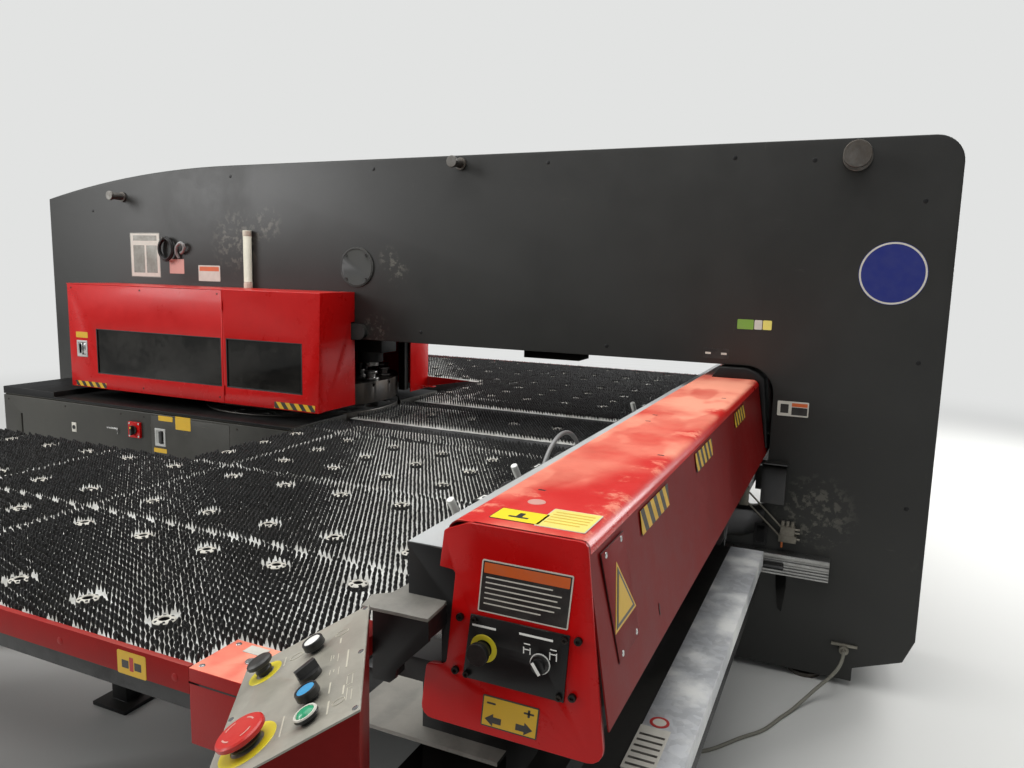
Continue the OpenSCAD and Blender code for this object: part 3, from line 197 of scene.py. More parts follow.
class Effects:
    """Shader node groups of the shared effects, each built once."""

    _made: dict[Effect, bpy.types.NodeTree] = {}

    @classmethod
    def use(cls, graph: Graph, effect: Effect, **inputs: Any) -> bpy.types.NodeSocket:
        """Places an effect in a material.

        Args:
            graph: The material's graph.
            effect: Which effect.
            **inputs: Values of the group's inputs by name.

        Returns:
            The group's one output.
        """
        if effect not in cls._made:
            cls._made[effect] = getattr(cls, "_" + effect.value)()
        node = graph.add("ShaderNodeGroup", node_tree=cls._made[effect])
        graph.fill(node, inputs)
        return node.outputs[0]

    @staticmethod
    def _open(
        name: str, inputs: dict[str, float], output: str, kind: str = "Float"
    ) -> tuple[Graph, Any, Any]:
        """Starts a group.

        Args:
            name: The group's name.
            inputs: Its inputs and their default values.
            output: Name of its output.
            kind: Type of its output.

        Returns:
            Its graph, its input node and its output node.
        """
        tree = bpy.data.node_groups.new(name, "ShaderNodeTree")
        for label, value in inputs.items():
            socket = tree.interface.new_socket(name=label, in_out="INPUT", socket_type="NodeSocketFloat")
            socket.default_value = value
        tree.interface.new_socket(name=output, in_out="OUTPUT", socket_type="NodeSocket" + kind)
        graph = Graph(tree)
        return graph, graph.add("NodeGroupInput"), graph.add("NodeGroupOutput")

    @staticmethod
    def _close(graph: Graph, start: bpy.types.Node, end: bpy.types.Node, mask: Any) -> bpy.types.NodeTree:
        """Ends a group with its mask times its Amount."""
        graph.feed(end.inputs[0], graph.math("MULTIPLY", mask, start.outputs["Amount"], clamp=True))
        return graph.tree

    @classmethod
    def _blotches(cls) -> bpy.types.NodeTree:
        """Uneven tone: broad soft patches with finer ones in them.

        Returns:
            The node group.
        """
        graph, start, end = cls._open("blotches", {"Scale": 2.0, "Amount": 0.5}, "Value")
        where = graph.place()
        broad = graph.noise(where, start.outputs["Scale"], 2.0)
        fine = graph.noise(where, graph.math("MULTIPLY", start.outputs["Scale"], 9.0), 5.0, 0.65)
        both = graph.math("ADD", graph.math("MULTIPLY", broad, 0.65), graph.math("MULTIPLY", fine, 0.35))
        level = graph.remap(both, 0.32, 0.68)
        return cls._close(graph, start, end, level)

    @classmethod
    def _edge_wear(cls) -> bpy.types.NodeTree:
        """Worn outer edges, broken up by noise.

        Returns:
            The node group.
        """
        graph, start, end = cls._open("edge_wear", {"Radius": 0.003, "Amount": 1.0}, "Mask")
        bent = graph.add("ShaderNodeBevel", {"Radius": start.outputs["Radius"]}, samples=4).outputs[0]
        flat = graph.add("ShaderNodeNewGeometry").outputs["Normal"]
        turn = graph.add("ShaderNodeVectorMath", {0: bent, 1: flat}, operation="DOT_PRODUCT").outputs["Value"]
        edge = graph.remap(turn, 0.995, 0.9)
        patch = graph.remap(graph.noise(graph.place(), 14.0, 5.0, 0.7), 0.5, 0.62)
        return cls._close(graph, start, end, graph.math("MULTIPLY", edge, patch))

    @classmethod
    def _settled_dust(cls) -> bpy.types.NodeTree:
        """Dust on faces that look up, wiped away in soft strokes.

        Returns:
            The node group.
        """
        graph, start, end = cls._open("settled_dust", {"Amount": 0.5, "Scale": 3.0, "Wiped": 0.5}, "Mask")
        normal = graph.add("ShaderNodeNewGeometry").outputs["Normal"]
        up = graph.remap(graph.add("ShaderNodeSeparateXYZ", {0: normal}).outputs["Z"], 0.55, 0.98)
        powder = graph.remap(graph.noise(graph.place(), start.outputs["Scale"], 6.0, 0.6), 0.2, 0.62)
        warp = graph.place(scale=(1.2, 0.35, 1.0), turn=(0, 0, 0.5))
        finer = graph.math("MULTIPLY", start.outputs["Scale"], 2.6)
        strokes = graph.remap(graph.noise(warp, finer, 2.0), 0.5, 0.56)
        kept = graph.math("SUBTRACT", 1.0, graph.math("MULTIPLY", strokes, start.outputs["Wiped"]))
        mask = graph.math("MULTIPLY", graph.math("MULTIPLY", up, powder), kept)
        return cls._close(graph, start, end, mask)

    @classmethod
    def _scuffs(cls) -> bpy.types.NodeTree:
        """Thin pale scratches and rubbed spots.

        Returns:
            The node group.
        """
        graph, start, end = cls._open("scuffs", {"Scale": 6.0, "Amount": 0.5}, "Mask")
        size = start.outputs["Scale"]
        along = graph.noise(graph.place(scale=(1, 1, 7), turn=(0.3, 0.5, 0.2)), size, 4.0, 0.7)
        across = graph.noise(graph.place(scale=(8, 3, 1), turn=(0.1, 0.2, 0.9)), size, 4.0, 0.7)
        rubbed = graph.remap(graph.noise(graph.place(shift=(3, 1, 2)), size, 6.0, 0.75), 0.62, 0.74)
        lines = graph.math("MAXIMUM", graph.remap(along, 0.68, 0.72), graph.remap(across, 0.69, 0.73))
        zone = graph.remap(graph.noise(graph.place(shift=(7, 2, 5)), 0.9, 2.0), 0.45, 0.65)
        mask = graph.math("MULTIPLY", graph.math("MAXIMUM", lines, rubbed), zone)
        return cls._close(graph, start, end, mask)

    @classmethod
    def _smudge(cls) -> bpy.types.NodeTree:
        """Patchy pale hand marks round a point.

        Returns:
            The node group.
        """
        sizes = {"X": 0.0, "Y": 0.0, "Z": 0.0, "Radius": 0.1, "Scale": 26.0, "Cover": 0.5, "Amount": 0.75}
        graph, start, end = cls._open("smudge", sizes, "Mask")
        middle = graph.add("ShaderNodeCombineXYZ", {axis: start.outputs[axis] for axis in "XYZ"}).outputs[0]
        where = graph.place()
        away = graph.add("ShaderNodeVectorMath", {0: where, 1: middle}, operation="DISTANCE").outputs["Value"]
        near = graph.remap(graph.math("DIVIDE", away, start.outputs["Radius"]), 1.0, 0.35)
        cloud = graph.noise(where, start.outputs["Scale"], 6.0, 0.7)
        cloud = graph.math("ADD", cloud, start.outputs["Cover"])
        return cls._close(graph, start, end, graph.math("MULTIPLY", near, graph.remap(cloud, 1.0, 1.1)))

    @classmethod
    def _grain(cls) -> bpy.types.NodeTree:
        """Fine relief of paint, casting or plastic, as a normal.

        Returns:
            The node group.
        """
        graph, start, end = cls._open("grain", {"Scale": 400.0, "Depth": 0.0002}, "Normal", "Vector")
        relief = graph.noise(graph.place(), start.outputs["Scale"], 3.0)
        depth = start.outputs["Depth"]
        bump = graph.add("ShaderNodeBump", {"Height": relief, "Distance": depth, "Strength": 1.0})
        graph.feed(end.inputs[0], bump.outputs["Normal"])
        return graph.tree


def shade(colour: Colour, factor: float, lift: float = 0.0) -> Colour:
    """A colour made darker or paler by a factor, with a small lift."""
    return tuple(min(1.0, c * factor + lift) for c in colour[:3]) + (1.0,)


def open_material(name: str) -> tuple[bpy.types.Material, Graph, bpy.types.Node]:
    """Starts a material.

    Args:
        name: The material's name.

    Returns:
        The material, its graph and its Principled shader.
    """
    material = bpy.data.materials.new(name)
    material.use_nodes = True
    material.node_tree.nodes.clear()
    graph = Graph(material.node_tree)
    shader = graph.add("ShaderNodeBsdfPrincipled")
    graph.add("ShaderNodeOutputMaterial", {"Surface": shader.outputs["BSDF"]})
    return material, graph, shader


@dataclass(frozen=True)
class Finish:
    """What a surface is made of: a name and the nodes of its shader."""

    name: str

    def inputs(self, graph: Graph) -> dict[str, Any]:
        """Builds the nodes and gives the shader's inputs by name.

        Args:
            graph: Graph of the new material.

        Returns:
            The value or the socket of each input.
        """
        raise NotImplementedError

    def material(self) -> bpy.types.Material:
        """Builds the finish.

        Returns:
            Its material.
        """
        material, graph, shader = open_material(self.name)
        graph.fill(shader, self.inputs(graph))
        return material


@dataclass(frozen=True)
class Paint(Finish):
    """Sprayed or powder-coated finish with uneven tone, wear, dust and scuffs."""

    colour: Colour
    roughness: float = 0.38
    mottle: float = 0.18
    mottle_scale: float = 2.0
    wear: float = 0.6
    bare: Colour = display(150, 148, 145)
    dust: float = 0.0
    dust_colour: Colour = display(190, 184, 172)
    wiped: float = 0.5
    scuffs: float = 0.0
    scuff_colour: Colour = display(165, 160, 150)
    grain_scale: float = 500.0
    grain_depth: float = 0.00012
    coat: float = 0.0
    smudges: tuple[tuple[float, float, float, float], ...] = ()
    wipes: tuple[tuple[float, float, float, float], ...] = ()
    specular: float = 0.5

    def inputs(self, graph: Graph) -> dict[str, Any]:
        """Builds the nodes and gives the shader's inputs by name.

        Args:
            graph: Graph of the new material.

        Returns:
            The value or the socket of each input.
        """
        patches = Effects.use(graph, Effect.BLOTCHES, Scale=self.mottle_scale, Amount=1.0)
        pale = shade(self.colour, 1 + self.mottle, 0.004 * self.mottle)
        tone = graph.mix(patches, shade(self.colour, 1 - self.mottle), pale)
        rough = graph.remap(patches, 0.0, 1.0, self.roughness - 0.05, self.roughness + 0.07)
        if self.scuffs:
            marks = Effects.use(graph, Effect.SCUFFS, Scale=5.0, Amount=self.scuffs)
            tone = graph.mix(marks, tone, self.scuff_colour)
            rough = graph.math("ADD", rough, graph.math("MULTIPLY", marks, 0.25))
        for x, y, z, radius in self.smudges:
            mark = Effects.use(graph, Effect.SMUDGE, X=x, Y=y, Z=z, Radius=radius)
            tone = graph.mix(mark, tone, self.scuff_colour)
        if self.dust:
            powder = Effects.use(graph, Effect.DUST, Amount=self.dust, Scale=2.4, Wiped=self.wiped)
            tone = graph.mix(powder, tone, self.dust_colour)
            rough = graph.math("ADD", rough, graph.math("MULTIPLY", powder, 0.35))
        for x, y, z, radius in self.wipes:
            clean = Effects.use(graph, Effect.SMUDGE, X=x, Y=y, Z=z, Radius=radius,
                                Scale=9.0, Cover=0.62, Amount=0.95)
            tone = graph.mix(clean, tone, self.colour)
        if self.wear:
            worn = Effects.use(graph, Effect.EDGE_WEAR, Radius=0.003, Amount=self.wear)
            tone = graph.mix(worn, tone, self.bare)
        normal = Effects.use(graph, Effect.GRAIN, Scale=self.grain_scale, Depth=self.grain_depth)
        return {"Base Color": tone, "Roughness": rough, "Normal": normal, "Coat Roughness": 0.12,
                "Specular IOR Level": self.specular, "Coat Weight": self.coat}


@dataclass(frozen=True)
class OrangePeel(Paint):
    """Sprayed paint with the broad relief of orange peel."""

    grain_scale: float = 240.0
    grain_depth: float = 0.00025


@dataclass(frozen=True)
class Metal(Finish):
    """Bare metal with brushed or turned lines, stains and a dull film."""

    colour: Colour
    roughness: float = 0.32
    lines: Point = (1, 1, 40)
    line_scale: float = 60.0
    line_depth: float = 0.00008
    stain: float = 0.35
    stain_colour: Colour = display(70, 58, 45)
    stain_scale: float = 7.0

    def inputs(self, graph: Graph) -> dict[str, Any]:
        """Builds the nodes and gives the shader's inputs by name.

        Args:
            graph: Graph of the new material.

        Returns:
            The value or the socket of each input.
        """
        lines = graph.noise(graph.place(scale=self.lines), self.line_scale, 4.0, 0.6)
        cloud = Effects.use(graph, Effect.BLOTCHES, Scale=self.stain_scale, Amount=self.stain)
        bright = graph.mix(lines, shade(self.colour, 0.72), self.colour)
        tone = graph.mix(cloud, bright, self.stain_colour)
        low, high = self.roughness - 0.08, self.roughness + 0.14
        rough = graph.remap(lines, 0.3, 0.7, low, high)
        rough = graph.math("ADD", rough, graph.math("MULTIPLY", cloud, 0.25))
        bump = graph.add("ShaderNodeBump", {"Height": lines, "Distance": self.line_depth})
        return {"Base Color": tone, "Roughness": rough, "Normal": bump.outputs["Normal"],
                "Metallic": 1.0}


@dataclass(frozen=True)
class Zinc(Finish):
    """Galvanised sheet: flat spangles under cloudy white stains."""

    colour: Colour
    stain_colour: Colour

    def inputs(self, graph: Graph) -> dict[str, Any]:
        """Builds the nodes and gives the shader's inputs by name.

        Args:
            graph: Graph of the new material.

        Returns:
            The value or the socket of each input.
        """
        where = graph.place()
        cells = graph.add("ShaderNodeTexVoronoi", {"Vector": where, "Scale": 55.0}).outputs["Color"]
        glint = graph.add("ShaderNodeSeparateColor", {0: cells}).outputs[0]
        spangle = graph.mix(glint, shade(self.colour, 0.78), self.colour)
        cloud = graph.remap(graph.noise(where, 5.5, 8.0, 0.62), 0.44, 0.66)
        return {
            "Base Color": graph.mix(cloud, spangle, self.stain_colour),
            "Roughness": graph.remap(cloud, 0.0, 1.0, 0.34, 0.7),
            "Metallic": graph.remap(cloud, 0.0, 1.0, 0.25, 0.05),
            "Normal": Effects.use(graph, Effect.GRAIN, Scale=60.0, Depth=0.0003),
        }


@dataclass(frozen=True)
class Plastic(Finish):
    """Moulded plastic or rubber with a fine grain."""

    colour: Colour
    roughness: float = 0.3
    grain_depth: float = 0.00006
    rubbed: float = 0.25
    rubbed_colour: Colour = display(120, 118, 112)

    def inputs(self, graph: Graph) -> dict[str, Any]:
        """Builds the nodes and gives the shader's inputs by name.

        Args:
            graph: Graph of the new material.

        Returns:
            The value or the socket of each input.
        """
        film = Effects.use(graph, Effect.BLOTCHES, Scale=25.0, Amount=self.rubbed * 0.4)
        tone = graph.mix(film, self.colour, self.rubbed_colour)
        worn = Effects.use(graph, Effect.EDGE_WEAR, Radius=0.0015, Amount=self.rubbed)
        return {
            "Base Color": graph.mix(worn, tone, self.rubbed_colour),
            "Roughness": graph.remap(film, 0.0, 0.4, self.roughness, self.roughness + 0.2),
            "Normal": Effects.use(graph, Effect.GRAIN, Scale=900.0, Depth=self.grain_depth),
        }


@dataclass(frozen=True)
class Foil(Plastic):
    """Printed foil or enamelled plate of one colour."""

    roughness: float = 0.4
    grain_depth: float = 0.00005
    rubbed: float = 0.3


@dataclass(frozen=True)
class SmokedPane(Finish):
    """Dark see-through plastic pane with a greasy film."""

    colour: Colour
    film_colour: Colour = display(46, 44, 40)
    clear: float = 0.35
    index: float = 1.49

    def inputs(self, graph: Graph) -> dict[str, Any]:
        """Builds the nodes and gives the shader's inputs by name.

        Args:
            graph: Graph of the new material.

        Returns:
            The value or the socket of each input.
        """
        film = Effects.use(graph, Effect.BLOTCHES, Scale=3.0, Amount=1.0)
        return {
            "Base Color": graph.mix(film, self.colour, self.film_colour),
            "Roughness": graph.remap(film, 0.0, 1.0, 0.06, 0.22),
            "Transmission Weight": self.clear,
            "IOR": self.index,
        }


@dataclass(frozen=True)
class Stripes(Finish):
    """Slanted black and yellow strip."""

    across: Point
    pitch: float
    dark: Colour = display(24, 24, 22)
    bright: Colour = display(226, 178, 12)
    dirt_colour: Colour = display(92, 80, 58)

    def inputs(self, graph: Graph) -> dict[str, Any]:
        """Builds the nodes and gives the shader's inputs by name.

        Args:
            graph: Graph of the new material.

        Returns:
            The value or the socket of each input.
        """
        where = graph.place()
        along = graph.add("ShaderNodeVectorMath", {0: where, 1: self.across}, operation="DOT_PRODUCT")
        phase = graph.math("FRACT", graph.math("DIVIDE", along.outputs["Value"], self.pitch))
        band = graph.math("GREATER_THAN", phase, 0.5)
        dirt = Effects.use(graph, Effect.BLOTCHES, Scale=14.0, Amount=0.3)
        return {
            "Base Color": graph.mix(dirt, graph.mix(band, self.dark, self.bright), self.dirt_colour),
            "Roughness": graph.remap(dirt, 0.0, 0.3, 0.35, 0.6),
            "Normal": Effects.use(graph, Effect.GRAIN, Scale=300.0, Depth=0.0001),
        }


@dataclass(frozen=True)
class DeckSheet(Finish):
    """Pale deck sheet above a darker underside and edges, painted dark as the shade seen in the slots, told
    apart by height.
    """

    split_height: float
    sheet: Colour = display(236, 236, 230)
    sheet_grime: Colour = display(172, 169, 160)
    # Below the split height: painted shade seen in the slots between deck sections, with grime.
    under: Colour = display(46, 46, 46)
    under_shade_and_grime: Colour = display(28, 28, 28)

    def inputs(self, graph: Graph) -> dict[str, Any]:
        """Builds the nodes and gives the shader's inputs by name.

        Args:
            graph: Graph of the new material.

        Returns:
            The value or the socket of each input.
        """
        where = graph.place()
        height = graph.add("ShaderNodeSeparateXYZ", {0: where}).outputs["Z"]
        above = graph.math("GREATER_THAN", height, self.split_height)
        grime = graph.remap(graph.noise(where, 7.0, 8.0, 0.7), 0.35, 0.75)
        sheet = graph.mix(grime, self.sheet, self.sheet_grime)
        # The edges and underside are painted dark as shade, mottled with grime.
        under = graph.mix(grime, self.under, self.under_shade_and_grime)
        return {
            "Base Color": graph.mix(above, under, sheet),
            "Roughness": graph.remap(grime, 0.0, 1.0, 0.38, 0.65),
            "Normal": Effects.use(graph, Effect.GRAIN, Scale=220.0, Depth=0.0002),
        }


@dataclass(frozen=True)
class Bristle(Finish):
    """Black nylon bristles with greyer, dustier tips."""

    foot_height: float
    tip_height: float
    foot: Colour = display(7, 7, 7)
    tip: Colour = display(15, 15, 15)
    dusty_tip: Colour = display(38, 37, 34)

    def inputs(self, graph: Graph) -> dict[str, Any]:
        """Builds the nodes and gives the shader's inputs by name.

        Args:
            graph: Graph of the new material.

        Returns:
            The value or the socket of each input.
        """
        where = graph.place()
        height = graph.add("ShaderNodeSeparateXYZ", {0: where}).outputs["Z"]
        up = graph.remap(height, self.foot_height, self.tip_height)
        hairs = graph.noise(graph.place(scale=(9, 9, 1)), 180.0, 3.0, 0.7)
        dusty = graph.remap(graph.noise(where, 3.5, 4.0), 0.45, 0.75)
        tip = graph.mix(dusty, self.tip, self.dusty_tip)
        bump = graph.add("ShaderNodeBump", {"Height": hairs, "Distance": 0.0012})
        return {
            "Base Color": graph.mix(graph.math("MULTIPLY", up, hairs), self.foot, tip),
            "Roughness": graph.remap(hairs, 0.3, 0.7, 0.42, 0.75),
            "Normal": bump.outputs["Normal"],
        }


class Library:
    """Every finish of the press, built when it is first asked for."""

    RED = OrangePeel(
        "red_paint", display(188, 10, 10), roughness=0.3, mottle=0.1, mottle_scale=1.3, wear=0.2,
        bare=display(206, 110, 92), dust=0.12, dust_colour=display(220, 132, 112), scuffs=0.05,
        scuff_colour=display(214, 96, 80), coat=0.1, specular=0.22
    )
    # Darker copy of the red paint for side faces and flanges: painted shade where less light falls.
    SHADED_RED = OrangePeel(
        "shaded_side_red_paint", display(116, 16, 14), roughness=0.45, mottle=0.16, mottle_scale=1.1, wear=0.15,
        bare=display(170, 80, 66), dust=0.05, dust_colour=display(170, 96, 80), scuffs=0.08,
        scuff_colour=display(150, 66, 56), specular=0.12
    )
    DUSTY_RED = OrangePeel(
        "dusty_red_paint", display(202, 26, 20), roughness=0.32, mottle=0.14, mottle_scale=1.4, wear=0.2,
        bare=display(226, 140, 112), dust=1.0, dust_colour=display(246, 160, 132), wiped=0.35, scuffs=0.1,
        scuff_colour=display(240, 150, 124), coat=0.1, wipes=((2.15, -2.30, 1.307, 0.17),
                (2.18, -2.16, 1.307, 0.15), (2.19, -1.99, 1.307, 0.13), (2.07, -2.38, 1.307, 0.14),
                (1.98, -2.48, 1.307, 0.12), (2.13, -2.48, 1.307, 0.13), (1.93, -2.56, 1.307, 0.12),
                (2.2, -1.6, 1.3, 0.12), (2.2, -1.2, 1.3, 0.1)), specular=0.3
    )
    EDGE_RED = OrangePeel(
        "edge_red_paint", display(150, 18, 15), roughness=0.4, mottle=0.14, mottle_scale=1.3, wear=0.3,
        bare=display(214, 130, 112), dust=0.2, dust_colour=display(190, 110, 92), scuffs=0.12,
        scuff_colour=display(196, 110, 96), specular=0.2
    )
    FRAME = Paint(
        "charcoal_paint", display(45, 45, 43), roughness=0.42, mottle=0.12, mottle_scale=0.6, wear=0.35,
        bare=display(110, 108, 102), dust=0.4, dust_colour=display(96, 93, 84), scuffs=0.16,
        scuff_colour=display(98, 96, 88), grain_scale=330.0, grain_depth=0.0003,
        smudges=((0.35, -0.275, 1.73, 0.09), (0.3, -0.275, 1.8, 0.07), (0.217, -0.275, 1.42, 0.1),
                (-0.73, -0.275, 1.88, 0.22), (-0.5, -0.275, 1.97, 0.12), (2.45, -0.275, 0.75, 0.2)),
        specular=0.35
    )
    CABINET = Paint(
        "cabinet_paint", display(56, 55, 50), roughness=0.45, mottle=0.22, mottle_scale=2.5,
        bare=display(130, 126, 118), dust=0.3, dust_colour=display(110, 106, 96), wiped=0.4, scuffs=0.35,
        scuff_colour=display(112, 108, 98), grain_scale=380.0, grain_depth=0.0003, specular=0.35
    )
    # Near-black top of the cabinets round and under the cover: partly dark paint, partly painted shade of the
    # cover above.
    SHADED_LEDGE = Paint(
        "ledge_painted_shade", display(14, 14, 14), roughness=0.5, mottle=0.3, mottle_scale=3.0, wear=0.5,
        bare=display(90, 88, 80), dust=0.06, dust_colour=display(70, 67, 60), wiped=0.6, scuffs=0.15,
        scuff_colour=display(70, 68, 62), grain_scale=380.0, grain_depth=0.0003, specular=0.2
    )
    BLACK = Paint(
        "black_paint", display(20, 20, 20), roughness=0.4, mottle=0.25, mottle_scale=3.0, wear=0.5,
        bare=display(110, 106, 100), dust=0.3, dust_colour=display(70, 67, 60), scuffs=0.15,
        scuff_colour=display(80, 78, 72), grain_scale=420.0, grain_depth=0.0002, specular=0.3
    )
    DUSTY_SHELF = Paint(
        "dusty_shelf", display(112, 110, 103), roughness=0.55, mottle=0.3, mottle_scale=6.0, wear=0.4,
        bare=display(190, 186, 176), dust=0.6, dust_colour=display(158, 154, 144), scuffs=0.6,
        scuff_colour=display(44, 42, 38), grain_scale=300.0, grain_depth=0.0005
    )
    STRIP = Paint(
        "beam_strip", display(172, 176, 176), roughness=0.4, mottle=0.08, mottle_scale=4.0, wear=0.2,
        bare=display(210, 210, 206), dust=0.2
    )
    CORE = Paint("core_paint", display(40, 40, 40), roughness=0.55, mottle=0.2, wear=0.0)
    PALE_TUBE = Paint(
        "pale_tube", display(206, 200, 182), roughness=0.4, mottle=0.1, mottle_scale=6.0, wear=0.3
    )
    PULL = Paint(
        "silver_pull", display(178, 178, 174), roughness=0.35, mottle=0.08, mottle_scale=12.0, wear=0.4,
        bare=display(210, 208, 202)
    )
    FACE = Paint(
        "panel_face", display(150, 146, 134), roughness=0.36, mottle=0.14, mottle_scale=9.0, wear=0.5,
        bare=display(190, 186, 176), dust=0.15, dust_colour=display(200, 196, 184), scuffs=0.2,
        scuff_colour=display(196, 192, 180), grain_depth=0.00008, coat=0.1
    )
    PAD = Metal(
        "pad_steel", display(120, 118, 114), roughness=0.45, lines=(1, 1, 1), line_scale=30.0,
        line_depth=0.0002, stain=0.6
    )
    GROUND = Metal(
        "ground_steel", display(190, 190, 188), roughness=0.26, lines=(1, 30, 30), line_scale=40.0
    )
    DARK_IRON = Metal(
        "dark_iron", display(56, 55, 54), roughness=0.36, lines=(1, 1, 60), line_scale=24.0,
        line_depth=0.0001, stain=0.5
    )
    TURNED = Metal(
        "turned_iron", display(112, 111, 108), roughness=0.34, lines=(1, 1, 60), line_scale=24.0,
        line_depth=0.0001, stain=0.5
    )
    TOOL = Metal(
        "tool_steel", display(150, 149, 146), roughness=0.28, lines=(1, 1, 30), line_scale=30.0,
        line_depth=0.0001, stain=0.4
    )
    CAST = Metal(
        "cast_alloy", display(168, 164, 152), roughness=0.48, lines=(1, 1, 1), line_scale=90.0,
        line_depth=0.0003, stain=0.45
    )
    BLACKENED = Metal(
        "blackened_screw", display(58, 57, 56), roughness=0.38, lines=(1, 1, 1), line_depth=0.0001,
        stain=0.4
    )
    ZINC = Zinc("galvanised_sheet", display(200, 202, 204), display(220, 220, 216))
    # Above 918.5 mm the pale sheet; below it the painted shade of the slots.
    DECK = DeckSheet("deck_sheet", 0.9185)
    TUFT = Bristle("bristles", 0.92, 0.948)
    PANE = SmokedPane("smoked_pane", display(22, 22, 21))
    KNOB = Plastic("black_plastic", display(20, 20, 20), roughness=0.32)
    GASKET = Plastic("black_rubber", display(16, 16, 16), roughness=0.6, grain_depth=0.0001, rubbed=0.1)
    WHITE_CAP = Plastic(
        "white_cap", display(238, 238, 232), roughness=0.25, grain_depth=0.00002, rubbed=0.05
    )
    BLUE_CAP = Plastic("blue_cap", display(60, 150, 200), roughness=0.22, grain_depth=0.00002, rubbed=0.15)
    GREEN_CAP = Plastic(
        "green_cap", display(34, 150, 104), roughness=0.22, grain_depth=0.00002, rubbed=0.15
    )
    RED_CAP = Plastic(
        "red_cap", display(192, 28, 20), roughness=0.28, grain_depth=0.00003, rubbed=0.3,
        rubbed_colour=display(228, 120, 100)
    )
    YELLOW = Plastic("yellow_disc", display(222, 204, 40), roughness=0.34, grain_depth=0.00003, rubbed=0.2)
    SHEATH = Plastic("cable_sheath", display(120, 118, 106), roughness=0.55, grain_depth=0.0002, rubbed=0.3)
    HOSE = Plastic("grey_hose", display(138, 138, 136), grain_depth=0.0001, rubbed=0.3)
    PALE_MARK = Plastic(
        "pale_marks", display(196, 190, 172), roughness=0.5, grain_depth=0.00003, rubbed=0.3
    )
    ORANGE_PIPE = Plastic("orange_pipe", display(190, 100, 40), roughness=0.4)
    WORN_KNOB = Plastic(
        "worn_knob", display(32, 31, 29), roughness=0.4, grain_depth=0.00008, rubbed=0.5,
        rubbed_colour=display(110, 106, 96)
    )
    LEMON_PLATE = Foil(
        "lemon_plate", display(240, 214, 20), rubbed=0.2, rubbed_colour=display(200, 170, 60)
    )
    YELLOW_PLATE = Foil(
        "yellow_plate", display(214, 170, 26), rubbed=0.35, rubbed_colour=display(150, 130, 70)
    )
    PALE_PLATE = Foil("pale_plate", display(206, 202, 190), rubbed=0.4)
    CREAM_PLATE = Foil("cream_plate", display(234, 220, 112), rubbed=0.35)
    ORANGE_PLATE = Foil("orange_plate", display(206, 92, 30))
    BLACK_PLATE = Foil("black_plate", display(30, 29, 28), roughness=0.35)
    PINK_PLATE = Foil("pink_plate", display(206, 150, 138), roughness=0.45)
    GREEN_PLATE = Foil("green_plate", display(120, 160, 60), roughness=0.45)
    BLUE_PLATE = Plastic("blue_plate", display(28, 40, 116), grain_depth=0.00003, rubbed=0.15)
    RED_PLATE = Foil("red_plate", display(176, 30, 26))
    SILVER_PLATE = Metal(
        "silver_plate", display(150, 148, 142), roughness=0.34, lines=(1, 1, 20), line_depth=0.00005,
        stain=0.5
    )
    CHROME = Metal(
        "bright_plate", display(205, 205, 203), roughness=0.16, lines=(1, 1, 1), line_scale=40.0,
        line_depth=0.00003, stain=0.15
    )
    COVER_STRIPES = Stripes("cover_stripes", (0, 1.0, 0.55), 0.052)
    GUARD_STRIPES = Stripes("guard_stripes", (1.0, 0, 0.75), 0.058)

    _made: dict[str, bpy.types.Material] = {}

    @classmethod
    def get(cls, finish: Finish) -> bpy.types.Material:
        """The material of a finish, built at its first use.

        Args:
            finish: The finish.

        Returns:
            Its material.
        """
        if finish.name not in cls._made:
            cls._made[finish.name] = finish.material()
        return cls._made[finish.name]


def facing(direction: Point, at: Point = (0, 0, 0)) -> Matrix:
    """Place at a point whose local Z looks along a direction."""
    return Matrix.Translation(Vector(at)) @ Vector(direction).to_track_quat("Z", "Y").to_matrix().to_4x4()


def basis(at: Point, right: Point, up: Point) -> Matrix:
    """Place whose X looks right and Y looks up, with Z out of the face.

    Args:
        at: Origin of the place.
        right: Direction of local X.
        up: Rough direction of local Y.

    Returns:
        The place as a matrix.
    """
    x = Vector(right).normalized()
    z = x.cross(Vector(up)).normalized()
    y = z.cross(x)
    turned = Matrix((x, y, z)).transposed().to_4x4()
    return Matrix.Translation(Vector(at)) @ turned


def round_edges(part: bmesh.types.BMesh, radius: float, segments: int, turn: float) -> None:
    """Rounds the sharp edges of a part.

    Args:
        part: The part.
        radius: Radius on the edges.
        segments: Faces across a rounded edge.
        turn: Least angle between the faces of a sharp edge, in radians.
    """
    sharp = [e for e in part.edges if len(e.link_faces) == 2 and e.calc_face_angle(0.0) > turn]
    bmesh.ops.bevel(part, geom=sharp, offset=radius, offset_type="OFFSET", segments=segments, profile=0.5,
                    affect="EDGES", clamp_overlap=True, material=-1)


def outward(x: float, y: float, z: float) -> Matrix:
    """Place on a near face, with local Z out of it."""
    return facing((0, -1, 0), (x, y, z))


def ring_of(
    radius: float, degrees: Iterable[float], across: float | None = None
) -> list[tuple[float, float]]:
    """Points at some angles of a circle, or of an ellipse where the radius across differs."""
    wide = radius if across is None else across
    return [(radius * math.cos(math.radians(a)), wide * math.sin(math.radians(a))) for a in degrees]


